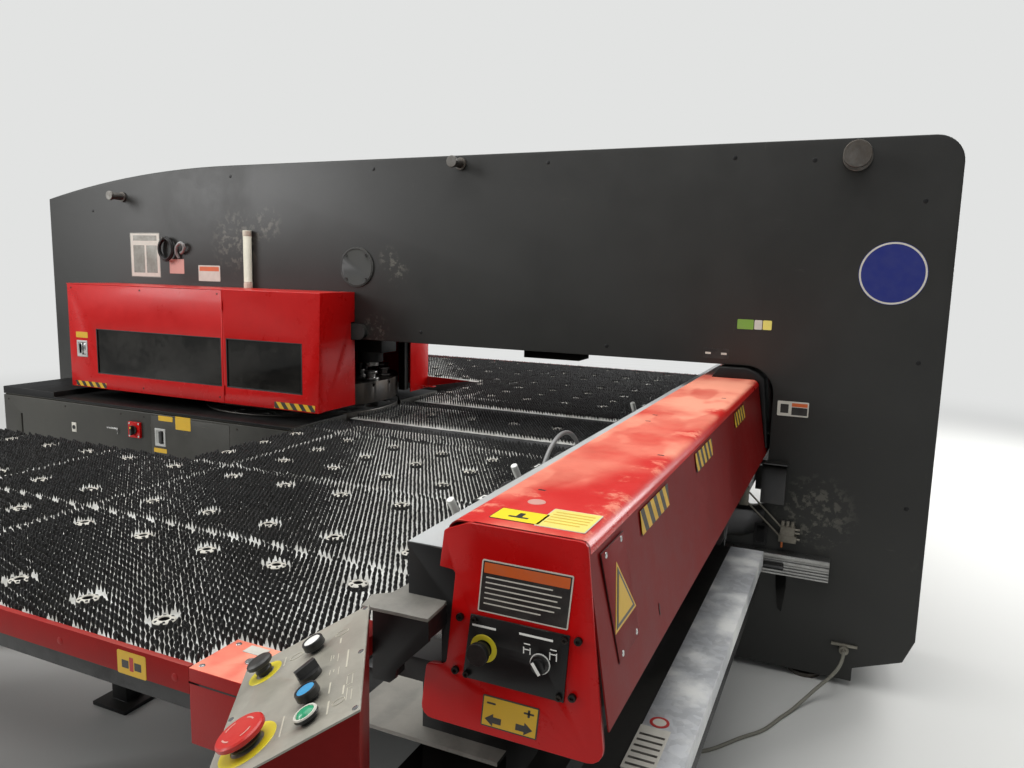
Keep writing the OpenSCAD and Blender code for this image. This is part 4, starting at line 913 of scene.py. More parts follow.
class Form:
    """A mesh under construction, in millimetres, in the press's own frame."""

    def __init__(self) -> None:
        """Starts empty."""
        self.mesh = bmesh.new()
        self.finish_number = 0

    @classmethod
    def of_node(cls, node: str, bevel: float = 0.0, segments: int = 2) -> "Form":
        """Takes a copy of a solid and rounds its edges.

        Args:
            node: The solid's name.
            bevel: Radius on its edges.
            segments: Faces across a rounded edge.

        Returns:
            The form.
        """
        form = cls()
        part = bmesh.new()
        part.from_mesh(frame["nodes"][node].data)
        bmesh.ops.scale(part, vec=(1 / MM,) * 3, verts=part.verts)
        bmesh.ops.remove_doubles(part, verts=part.verts, dist=0.01)
        bmesh.ops.dissolve_limit(part, angle_limit=FLAT_TURN, verts=part.verts, edges=part.edges)
        return form.take(part, bevel=bevel, segments=segments)

    def take(
        self,
        part: bmesh.types.BMesh,
        place: Matrix | None = None,
        bevel: float = 0.0,
        segments: int = 2,
    ) -> "Form":
        """Adds a part, with its sharp edges rounded.

        Args:
            part: The part, which is freed.
            place: Where it goes.
            bevel: Radius on its sharp edges.
            segments: Faces across a rounded edge.

        Returns:
            This form.
        """
        if bevel:
            round_edges(part, bevel, segments, CORNER_TURN)
        if place is not None:
            bmesh.ops.transform(part, matrix=place, verts=part.verts)
        for face in part.faces:
            face.material_index = self.finish_number
        mesh = bpy.data.meshes.new("part")
        part.to_mesh(mesh)
        part.free()
        self.mesh.from_mesh(mesh)
        bpy.data.meshes.remove(mesh)
        return self

    def block(
        self, low: Point, high: Point, bevel: float = 1.0, segments: int = 2, place: Any = None
    ) -> "Form":
        """Adds a box between two corners with rounded edges.

        Args:
            low: The lower corner.
            high: The upper corner.
            bevel: Radius on its edges.
            segments: Faces across a rounded edge.
            place: Where it goes.

        Returns:
            This form.
        """
        part = bmesh.new()
        bmesh.ops.create_cube(part, size=1.0)
        size = [h - l for l, h in zip(low, high)]
        bmesh.ops.scale(part, vec=size, verts=part.verts)
        bmesh.ops.translate(part, vec=[(h + l) / 2 for l, h in zip(low, high)], verts=part.verts)
        return self.take(part, place, bevel, segments)

    def rod(self, start: Point, end: Point, radius: float, sides: int = 32, bevel: float = 0.0,
            segments: int = 2, place: Any = None) -> "Form":
        """Adds a round bar between two points.

        Args:
            start: Middle of one end.
            end: Middle of the other end.
            radius: The bar's radius.
            sides: Faces round it.
            bevel: Radius on its rims.
            segments: Faces across a rounded rim.
            place: Place that the points are given in.

        Returns:
            This form.
        """
        part = bmesh.new()
        a, b = Vector(start), Vector(end)
        bmesh.ops.create_cone(part, cap_ends=True, segments=sides, radius1=radius, radius2=radius,
                              depth=(b - a).length)
        if bevel:
            round_edges(part, bevel, segments, RIM_TURN)
        stand = facing(b - a, (a + b) / 2)
        return self.take(part, stand if place is None else place @ stand)

    def slab(self, outline: Iterable[Point], low: float, high: float, bevel: float = 0.0,
             segments: int = 2, place: Any = None) -> "Form":
        """Adds an outline extruded along Z.

        Args:
            outline: Its points.
            low: Height of its lower face.
            high: Height of its upper face.
            bevel: Radius on its edges.
            segments: Faces across a rounded edge.
            place: Where it goes.

        Returns:
            This form.
        """
        part = bmesh.new()
        face = part.faces.new([part.verts.new((a, b, low)) for a, b in outline])
        made = bmesh.ops.extrude_face_region(part, geom=[face])
        moved = [item for item in made["geom"] if isinstance(item, bmesh.types.BMVert)]
        bmesh.ops.translate(part, vec=(0, 0, high - low), verts=moved)
        bmesh.ops.holes_fill(part, edges=part.edges, sides=0)
        bmesh.ops.recalc_face_normals(part, faces=part.faces)
        return self.take(part, place, bevel, segments)

    def lathe(self, profile: Sequence[Point], place: Matrix, steps: int = 40) -> "Form":
        """Adds a turned shape.

        Args:
            profile: Radius and height of its points, along the place's Z.
            place: Where it goes.
            steps: Faces round it.

        Returns:
            This form.
        """
        part = bmesh.new()
        verts = [part.verts.new((r, 0, h)) for r, h in profile]
        edges = [part.edges.new(pair) for pair in zip(verts, verts[1:])]
        bmesh.ops.spin(part, geom=verts + edges, cent=(0, 0, 0), axis=(0, 0, 1), dvec=(0, 0, 0),
                       angle=2 * math.pi, steps=steps, use_merge=True, use_duplicate=False)
        bmesh.ops.remove_doubles(part, verts=part.verts, dist=0.001)
        bmesh.ops.recalc_face_normals(part, faces=part.faces)
        return self.take(part, place)

    def tube(self, route: Sequence[Point], radius: float, sides: int = 4) -> "Form":
        """Adds a closed round tube along a smooth route.

        Args:
            route: Points that the middle line passes through.
            radius: The tube's radius.
            sides: Bevel resolution of the curve.

        Returns:
            This form.
        """
        curve = smooth_curve("route", route, radius, sides)
        item = bpy.data.objects.new("route", curve)
        part = bmesh.new()
        part.from_mesh(item.to_mesh())
        item.to_mesh_clear()
        bpy.data.objects.remove(item)
        bpy.data.curves.remove(curve)
        bmesh.ops.remove_doubles(part, verts=part.verts, dist=0.001)
        bmesh.ops.recalc_face_normals(part, faces=part.faces)
        return self.take(part)

    def paint(self, low: Point, high: Point, number: int) -> "Form":
        """Gives the faces whose middles lie in a box another finish.

        Args:
            low: The box's lower corner.
            high: The box's upper corner.
            number: Number of the finish.

        Returns:
            This form.
        """
        for face in self.mesh.faces:
            middle = face.calc_center_median()
            if all(l <= m <= h for l, m, h in zip(low, middle, high)):
                face.material_index = number
        return self

    def with_finish(self, number: int) -> "Form":
        """What is added from now on takes the finish of that number."""
        self.finish_number = number
        return self

    def piece(
        self, name: str, body: str, slot: str, *finishes: Finish, replaces: Sequence[str] = ()
    ) -> bpy.types.Object:
        """Makes the form an object of the press.

        Args:
            name: Name of the piece.
            body: Body that it rides on.
            slot: Material slot of the record; not used.
            *finishes: Its finishes, the first one for number 0.
            replaces: Solids that it stands for.

        Returns:
            The object.
        """
        bmesh.ops.scale(self.mesh, vec=(MM,) * 3, verts=self.mesh.verts)
        mesh = bpy.data.meshes.new(name)
        self.mesh.to_mesh(mesh)
        self.mesh.free()
        return add_piece(name, mesh, body, finishes, replaces)


def show(name: str, data: bpy.types.ID) -> bpy.types.Object:
    """Puts an object with its data in the scene.

    Args:
        name: The object's name.
        data: Its mesh, curve, lamp or camera.

    Returns:
        The object.
    """
    item = bpy.data.objects.new(name, data)
    bpy.context.scene.collection.objects.link(item)
    return item


def add_piece(name: str, mesh: bpy.types.Mesh, body: str, finishes: Iterable[Finish],
              replaces: Sequence[str] = ()) -> bpy.types.Object:
    """Puts a mesh in the scene as a piece of the press.

    Args:
        name: Name of the piece.
        mesh: Its mesh, in metres.
        body: Body that it rides on.
        finishes: Its finishes.
        replaces: Solids that it stands for.

    Returns:
        The object.
    """
    for finish in finishes:
        mesh.materials.append(Library.get(finish))
    mesh.polygons.foreach_set("use_smooth", [True] * len(mesh.polygons))
    mesh.set_sharp_from_angle(angle=SMOOTH_TURN)
    item = show(name, mesh)
    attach(item, body)
    if replaces:
        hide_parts(*replaces)
    LOG.info("%s on %s: %d faces", name, body, len(mesh.polygons))
    return item


def smooth_curve(name: str, route: Sequence[Point], radius: float, resolution: int = 4) -> bpy.types.Curve:
    """Makes a round curve through points, in their own units.

    Args:
        name: Name of the curve.
        route: Points that it passes through.
        radius: Its radius.
        resolution: Bevel resolution.

    Returns:
        The curve, capped at both ends.
    """
    curve = bpy.data.curves.new(name, "CURVE")
    curve.dimensions = "3D"
    curve.bevel_depth = radius
    curve.bevel_resolution = resolution
    curve.resolution_u = 8
    curve.use_fill_caps = True
    spline = curve.splines.new("BEZIER")
    spline.bezier_points.add(len(route) - 1)
    points = [Vector(p) for p in route]
    for i, (knot, here) in enumerate(zip(spline.bezier_points, points)):
        before, after = points[max(i - 1, 0)], points[min(i + 1, len(points) - 1)]
        pull = (after - before) / 6
        knot.co = here
        knot.handle_left_type = knot.handle_right_type = "FREE"
        knot.handle_left, knot.handle_right = here - pull, here + pull
    return curve


def body_of(node: str) -> str:
    """Body that a solid belongs to."""
    return frame["nodes"][node]["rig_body"]


def slot_of(node: str) -> str:
    """Material slot of a solid in the record."""
    return next(part["material_slot"] for part in frame["record"]["subparts"] if part["node"] == node)


@dataclass(frozen=True)
class Zone:
    """A box in millimetres whose faces take a finish of their own."""

    low: Point
    high: Point
    finish: Finish


def refine(
    node: str, finish: Finish, bevel: float = 1.5, segments: int = 2, zones: Sequence[Zone] = ()
) -> bpy.types.Object:
    """Stands a copy with rounded edges in for a solid.

    Args:
        node: The solid's name.
        finish: Finish of the copy.
        bevel: Radius on its edges.
        segments: Faces across a rounded edge.
        zones: Boxes with other finishes.

    Returns:
        The copy.
    """
    form = Form.of_node(node, bevel, segments)
    finishes = [finish]
    for zone in zones:
        if zone.finish not in finishes:
            finishes.append(zone.finish)
        form.paint(zone.low, zone.high, finishes.index(zone.finish))
    return form.piece(node + "_finished", body_of(node), slot_of(node), *finishes, replaces=[node])


def dress(node: str, finish: Finish) -> None:
    """Gives a solid that shows as it is its finish.

    Args:
        node: The solid's name.
        finish: Its finish.
    """
    item = frame["nodes"][node]
    item.data.materials.clear()
    item.data.materials.append(Library.get(finish))
    LOG.info("%s dressed as it is", node)


def rounded(low: Point, high: Point, radius: float, steps: int = 5) -> list[tuple[float, float]]:
    """Outline of a rectangle with rounded corners.

    Args:
        low: Lower left corner.
        high: Upper right corner.
        radius: Radius of its corners.
        steps: Points round a corner, less one.

    Returns:
        The outline's points.
    """
    corners = [(high[0], high[1], 0), (low[0], high[1], 90), (low[0], low[1], 180), (high[0], low[1], 270)]
    points = []
    for x, y, start in corners:
        cx = x - radius if start in (0, 270) else x + radius
        cy = y - radius if start in (0, 90) else y + radius
        for k in range(steps + 1):
            angle = math.radians(start + 90 * k / steps)
            points.append((cx + radius * math.cos(angle), cy + radius * math.sin(angle)))
    return points


@dataclass
class Sticker:
    """A bare printed plate or foil: a thin sheet with a border, and bands of other colours."""

    name: str
    body: str
    slot: str
    place: Matrix
    width: float
    height: float
    finishes: tuple[Finish, ...]
    border: float = 3.0
    radius: float = 4.0
    thickness: float = 0.8
    bands: tuple[Band, ...] = ()

    def build(self) -> bpy.types.Object:
        """Builds the plate with its border in finish 0, its field in the last finish and its bands on top.

        Returns:
            The object.
        """
        w, h, b = self.width / 2, self.height / 2, self.border
        form = Form()
        form.slab(rounded((-w, -h), (w, h), self.radius), 0, self.thickness, place=self.place)
        if b:
            inner = rounded((b - w, b - h), (w - b, h - b), max(self.radius - b, 0.8))
            form.with_finish(len(self.finishes) - 1)
            form.slab(inner, self.thickness, self.thickness + 0.15, place=self.place)
        top = self.thickness + 0.15
        for x0, y0, x1, y1, number in self.bands:
            low = (x0 * self.width - w, y0 * self.height - h)
            high = (x1 * self.width - w, y1 * self.height - h)
            form.with_finish(number)
            form.slab(rounded(low, high, min(1.5, (high[1] - low[1]) / 3)), top, top + 0.15, place=self.place)
        return form.piece(self.name, self.body, self.slot, *self.finishes)


NEAR_FACE = ((1, 0, 0), (0, 0, 1))


def on_near_face(x: float, y: float, z: float) -> Matrix:
    """Place on a face that looks along -Y."""
    return basis((x, y, z), *NEAR_FACE)


@dataclass
class BridgeFrame:
    """Side plates, their core, lifting pins, brackets and what is screwed on the near plate."""

    plate_y: float = -275.0
    sign_centre: tuple[float, float] = (2669.0, 1770.0)
    sign_radius: float = 125.0
    cover_centre: tuple[float, float] = (104.0, 1747.0)
    cover_radius: float = 105.0
    cover_screw_circle: float = 88.0
    tube_x: float = -626.0
    tube_bottom: float = 1614.3
    tube_height: float = 322.0
    coil_centre: tuple[float, float] = (-1262.0, 1828.0)
    plug_rows: tuple[tuple[float, float], ...] = ((-1900, 2060), (-760, 2240), (210, 2250), (1180, 2250),
                                                 (2029, 2239), (2346, 2219), (2760, 2050), (2790, 1420),
                                                 (2800, 820), (1500, 1410), (500, 1420), (-1250, 1240))

    def build(self) -> None:
        """Builds every piece of the frame."""
        for node in ("near_side_plate", "far_side_plate"):
            refine(node, Library.FRAME, 4.0, 3)
        for node in ("beam_box", "lower_frame_box"):
            dress(node, Library.CORE)
        refine("lifting_pins", Library.PAD, 3.0)
        refine("levelling_pads", Library.PAD, 2.0)
        tube = Zone((-660, -330, 1600), (-590, -270, 1960), Library.PALE_TUBE)
        disc = Zone((-5, -290, 1635), (215, -270, 1860), Library.FRAME)
        refine("side_brackets", Library.BLACK, 1.5, zones=[tube, disc])
        refine("turret_bearings", Library.TURNED, 2.0)
        self.round_cover()
        self.light_tube()
        self.hose_coil()
        self.plugs()
        self.stickers()
        self.round_sign()

    def round_cover(self) -> None:
        """Screws and rim of the round cover in the bridge."""
        x, z = self.cover_centre
        y = self.plate_y - 8
        form = Form()
        form.lathe([(self.cover_radius - 6, 0), (self.cover_radius - 5, 1.2), (self.cover_radius - 9, 1.4),
                    (self.cover_radius - 10, 0)], outward(x, y, z), 64)
        for k in range(4):
            angle = math.radians(45 + 90 * k)
            out = self.cover_screw_circle
            place = outward(x + out * math.cos(angle), y, z + out * math.sin(angle))
            form.lathe([(0, 1), (3, 1), (3.4, 4), (5.6, 4.6), (6, 3.6), (6, 0)], place, 20)
        form.piece("bridge_cover_screws", "frame", "pad_steel", Library.FRAME)

    def light_tube(self) -> None:
        """Caps of the pale lamp tube in front of the bridge."""
        x, y, z = self.tube_x, self.plate_y - 23, self.tube_bottom
        form = Form()
        place = Matrix.Translation((x, y, z))
        form.lathe([(0, 0), (24.5, 0), (24.5, 26), (23.3, 28), (23.3, 34), (0, 34)], place, 32)
        top = self.tube_height
        form.lathe([(0, top - 32), (23.4, top - 32), (24.6, top - 28), (24.6, top - 2), (22, top), (0, top)],
                   place, 32)
        form.piece("light_tube_caps", "frame", "pad_steel", Library.PALE_TUBE)

    def hose_coil(self) -> None:
        """Coiled air line with its coupling, hung on a hook beside the plate place."""
        x, z = self.coil_centre
        y = self.plate_y
        form = Form()
        for turn, (radius, out) in enumerate(((66, 12), (60, 18), (70, 25), (62, 31))):
            ring = []
            for angle in map(math.radians, range(0, 341, 20)):
                ring.append((x + 0.8 * radius * math.sin(angle) + 2 * turn, y - out - 3 * math.sin(3 * angle),
                             z + radius * math.cos(angle)))
            form.tube(ring, 6.0, 3)
        form.with_finish(1).rod((x, y, z + 58), (x, y - 46, z + 64), 4.0, bevel=1.0, sides=16)
        form.with_finish(2)
        form.tube([(x + 92, y - 8, z - 52), (x + 84, y - 20, z - 20), (x + 96, y - 26, z + 14),
                   (x + 128, y - 28, z + 36), (x + 152, y - 24, z + 18), (x + 138, y - 18, z - 12),
                   (x + 112, y - 10, z - 22)], 9.0, 4)
        form.piece("hose_coil", "frame", "valve_metal", Library.GASKET, Library.PAD, Library.HOSE)

    def plugs(self) -> None:
        """Small round plugs in the plate's tapped holes."""
        form = Form()
        for x, z in self.plug_rows:
            for side in (1, -1):
                place = facing((0, -side, 0), (x, side * self.plate_y, z))
                form.lathe([(0, 1.8), (7, 1.6), (9, 0.8), (9.5, 0)], place, 20)
        form.piece("plate_plugs", "frame", "frame_paint", Library.BLACK)

    def stickers(self) -> None:
        """Bare plates on the near side plate."""
        y = self.plate_y
        lib = Library
        spots = [
            ("rating_place", -1457, 1790, 250, 268, (lib.SILVER_PLATE, lib.PALE_PLATE), 5.0,
             ((0.1, 0.82, 0.9, 0.94, 0), (0.1, 0.1, 0.48, 0.72, 0), (0.54, 0.1, 0.9, 0.72, 0))),
            ("pink_place", -1198, 1726, 118, 86, (lib.PINK_PLATE, lib.PINK_PLATE), 3.0, ()),
            ("orange_place", -941, 1690, 168, 92, (lib.PALE_PLATE, lib.ORANGE_PLATE, lib.PALE_PLATE), 3.0,
             ((0.05, 0.64, 0.95, 0.92, 1),)),
            ("pair_place_left", 2117, 1541, 68, 42, (lib.GREEN_PLATE, lib.GREEN_PLATE), 2.0, ()),
            ("pair_place_middle", 2170, 1541, 32, 40, (lib.PALE_PLATE, lib.PALE_PLATE), 2.0, ()),
            ("pair_place_right", 2207, 1541, 36, 40, (lib.CREAM_PLATE, lib.CREAM_PLATE), 2.0, ()),
            ("terminal_place", 2335, 1191, 126, 64,
             (lib.PALE_PLATE, lib.BLACK_PLATE, lib.ORANGE_PLATE, lib.PALE_PLATE), 3.0,
             ((0.1, 0.2, 0.36, 0.8, 1), (0.46, 0.1, 0.96, 0.62, 1), (0.46, 0.66, 0.96, 0.9, 2))),
            ("axis_place", 2000, 1408, 110, 44, (lib.BLACK_PLATE, lib.PALE_PLATE, lib.BLACK_PLATE), 2.0,
             ((0.08, 0.4, 0.3, 0.6, 1), (0.7, 0.4, 0.92, 0.6, 1))),
        ]
        for name, x, z, w, h, finishes, border, bands in spots:
            place = on_near_face(x, y, z)
            Sticker(name, "frame", "frame_paint", place, w, h, finishes, border, bands=bands).build()

    def round_sign(self) -> None:
        """Bare round sign: a blue field in a pale ring with a blue edge."""
        form = Form()
        place = outward(self.sign_centre[0], self.plate_y, self.sign_centre[1])
        r = self.sign_radius
        form.lathe([(0, 0.9), (r - 9, 0.9), (r - 9, 0.0)], place, 72)
        form.with_finish(1).lathe([(r - 9, 0.0), (r - 9, 1.0), (r - 2, 1.0), (r - 2, 0.0)], place, 72)
        form.with_finish(0).lathe([(r - 2, 0.0), (r - 2, 0.9), (r, 0.9), (r, 0.0)], place, 72)
        form.piece("round_sign_place", "frame", "frame_paint", Library.BLUE_PLATE, Library.PALE_PLATE)


@dataclass
class TurretGuard:
    """Red covers round the turret with their door, windows, latch, pull and strips."""

    front_y: float = -606.0
    left: float = -1735.0
    seam: float = -527.0
    bottom: float = 1003.0
    top: float = 1614.0
    window_low: float = 1092.0
    window_high: float = 1355.0

    def build(self) -> None:
        """Builds the covers."""
        refine("near_turret_cover", Library.RED, 2.5)
        refine("far_turret_cover", Library.RED, 2.0)
        pull = Zone((-1668, -612, 1180), (-1578, -580, 1282), Library.PULL)
        refine("turret_door", Library.RED, 1.2, zones=[pull])
        for node in ("fixed_window", "door_window"):
            dress(node, Library.PANE)
        self.window_frames()
        self.door_latch()
        self.door_hinges()
        self.door_screws()
        self.strips()

    def window_frames(self) -> None:
        """Thin black gaskets round the windows."""
        for name, body, x0, x1 in (("door_gasket", "turret_door", self.left + 234, self.seam - 13),
                                   ("fixed_gasket", "frame", self.seam + 22, 0.0)):
            form = Form()
            z0, z1, t = self.window_low, self.window_high, 5.0
            for low, high in (((x0, z0), (x1, z0 + t)), ((x0, z1 - t), (x1, z1)), ((x0, z0), (x0 + t, z1)),
                              ((x1 - t, z0), (x1, z1))):
                form.block((low[0], self.front_y - 0.6, low[1]), (high[0], self.front_y + 5.7, high[1]), 0.8)
            form.piece(name, body, "handle_plastic", Library.GASKET)

    def door_latch(self) -> None:
        """Latch and its keeper."""
        x, y = self.left + 68, self.front_y
        form = Form()
        form.block((x + 14, y - 1, 1200), (x + 42, y + 14, 1262), 3.0)
        form.block((x + 46, y + 2, 1200), (x + 72, y + 18, 1262), 2.0)
        form.piece("door_latch", "turret_door", "pad_steel", Library.CHROME)

    def door_hinges(self) -> None:
        """Barrels of the door's two hinges."""
        hinges = Form()
        axis, y = self.seam + 4, self.front_y
        for z in (self.bottom + 70, self.top - 90):
            hinges.rod((axis, y - 3, z - 28), (axis, y - 3, z + 28), 3.0, bevel=0.8, sides=20)
        hinges.piece("door_hinge_pins", "frame", "red_paint", Library.RED)

    def door_screws(self) -> None:
        """Small dark screws along the door's upper and lower edges."""
        y = self.front_y
        screws = Form()
        for z in (self.bottom + 30, self.top - 26):
            for xs in (self.left + 40, (self.left + self.seam) / 2, self.seam - 30):
                place = outward(xs, y, z)
                screws.lathe([(0, 1.0), (3.0, 1.2), (5.0, 0.8), (5.4, 0)], place, 16)
        screws.piece("door_screws", "turret_door", "screw_black", Library.BLACKENED)

    def strips(self) -> None:
        """Striped foils at the lower edge and the yellow place over the latch."""
        y = self.front_y
        lib = Library
        Sticker("door_strip", "turret_door", "red_paint", on_near_face(-1562, y, 1022), 255, 30,
                (lib.GUARD_STRIPES,), 0.0, 2.0).build()
        Sticker("fixed_strip", "frame", "red_paint", on_near_face(-52, y, 1026), 262, 34,
                (lib.GUARD_STRIPES,), 0.0, 2.0).build()
        Sticker("latch_place", "turret_door", "red_paint", on_near_face(-1622, y, 1313), 100, 34,
                (lib.YELLOW_PLATE, lib.YELLOW_PLATE), 2.0).build()


@dataclass
class Cabinets:
    """Dark base cabinets beside the turret with the breaker, door pull, hasp and plates."""

    front: float = -725.0

    def build(self) -> None:
        """Builds the cabinets."""
        for node, side in (("near_base_cabinet", -1), ("far_base_cabinet", 1)):
            low, high = sorted((side * 275, side * 727))
            # The cabinet top under the cover takes the near-black finish: partly dark paint, partly painted
            # shade.
            shaded_ledge = Zone((-2200, low, 942), (40, high, 980), Library.SHADED_LEDGE)
            refine(node, Library.CABINET, 3.0, zones=[shaded_ledge])
        pull = Zone((-919, -730, 746), (-838, -700, 848), Library.PULL)
        refine("cabinet_door", Library.CABINET, 1.0, zones=[pull])
        refine("breaker_box", Library.RED, 1.5)
        refine("breaker_switch", Library.KNOB, 2.0)
        self.socket()
        self.hasp()
        self.pull_recess_shade()
        self.breaker_fittings()
        self.screws()
        self.stickers()

    def socket(self) -> None:
        """Service socket with its round cover."""
        y = self.front
        form = Form()
        form.block((-1589, y - 3, 755), (-1551, y, 811), 1.5)
        form.with_finish(1).lathe([(0, 0.4), (9, 0.4), (10.5, 2.2), (12, 2.2), (12.5, 0)],
                                  outward(-1570, y - 3, 783), 24)
        form.piece("service_socket", "frame", "pad_steel", Library.PALE_PLATE, Library.GASKET)

    def hasp(self) -> None:
        """Hasp with its ring and rivet."""
        y = self.front
        hasp = Form()
        hasp.block((-1296, y - 2.5, 806), (-1206, y, 815), 1.0)
        hasp.tube([(-1216, y - 6, 812), (-1206, y - 8, 808), (-1202, y - 8, 795), (-1206, y - 7, 782)], 2.2)
        hasp.rod((-1286, y - 5, 810), (-1286, y, 810), 4.0, bevel=1.0, sides=20)
        hasp.piece("cabinet_hasp", "frame", "pad_steel", Library.CHROME)

    def pull_recess_shade(self) -> None:
        """Black block on the left of the door pull's hollow: painted shade of the recess."""
        y = self.front
        recess_shade_block = Form()
        # Black plastic block standing for the shade on the left side of the pull's recess.
        recess_shade_block.block((-893, y - 2, 764), (-868, y + 14, 830), 3.0)
        recess_shade_block.piece("cabinet_pull_recess_shade", "cabinet_door", "pad_steel", Library.KNOB)

    def breaker_fittings(self) -> None:
        """Screws of the breaker's plate and the yellow mark on its knob."""
        y = self.front
        plate = Form()
        for x in (-1100, -1030):
            for z in (787, 857):
                place = outward(x, y - 14, z)
                plate.lathe([(0, 1.4), (3, 1.6), (5.6, 1.0), (6, 0)], place, 16)
        plate.with_finish(1).block((-1070, y - 39, 832), (-1060, y - 37.5, 842), 0.5)
        plate.piece("breaker_fittings", "frame", "pad_steel", Library.CHROME, Library.YELLOW_PLATE)

    def screws(self) -> None:
        """Rows of black screws on the cabinet's front."""
        y = self.front
        screws = Form()
        for x in (-2150, -1640, -1180, -1000, -330, -20):
            for z in (140, 500, 900):
                screws.lathe([(0, 1.4), (3, 1.6), (5.5, 1.0), (6, 0)], outward(x, y, z), 16)
        screws.piece("cabinet_screws", "frame", "screw_black", Library.BLACKENED)

    def stickers(self) -> None:
        """Bare yellow plates on and beside the door."""
        y = self.front
        lib = Library
        for name, x, z, w, h in (
            ("cabinet_place_low", -835, 905, 106, 28),
            ("cabinet_place_high", -707, 890, 110, 72),
            ("cabinet_place_below", -882, 723, 96, 24),
        ):
            Sticker(name, "cabinet_door", "cabinet_paint", on_near_face(x, y, z), w, h,
                    (lib.YELLOW_PLATE, lib.YELLOW_PLATE), 2.0).build()


@dataclass
class Turret:
    """Discs, tools and dies between the bridge and the bed."""

    def build(self) -> None:
        """Builds the turret."""
        refine("upper_turret", Library.DARK_IRON, 1.5)
        refine("lower_turret", Library.TURNED, 1.5)
        refine("punch_tools", Library.TOOL, 0.8)
        refine("die_tools", Library.TOOL, 0.5)
        refine("ram_housing", Library.BLACK, 2.0)
        refine("striker", Library.GROUND, 1.5)


@dataclass(frozen=True)
class BrushField:
    """A rectangle of brush tufts between seams."""

    x0: float
    x1: float
    y0: float
    y1: float

    def places(self, step: tuple[float, float], margin: float) -> np.ndarray:
        """Places of the tufts, on a square lattice that is turned a little.

        Args:
            step: From one tuft to the next, along X and Y.
            margin: Bare strip inside each side.

        Returns:
            An array of X and Y, one row for each tuft.
        """
        low = np.array((self.x0, self.y0)) + margin
        high = np.array((self.x1, self.y1)) - margin
        reach = int(np.hypot(*(high - low)) / np.hypot(*step)) // 2 + 2
        i, j = (grid.reshape(-1, 1) for grid in np.mgrid[-reach:reach + 1, -reach:reach + 1])
        spots = (low + high) / 2 + i * np.array(step) + j * np.array((-step[1], step[0]))
        return spots[np.all((spots >= low) & (spots <= high), axis=1)]


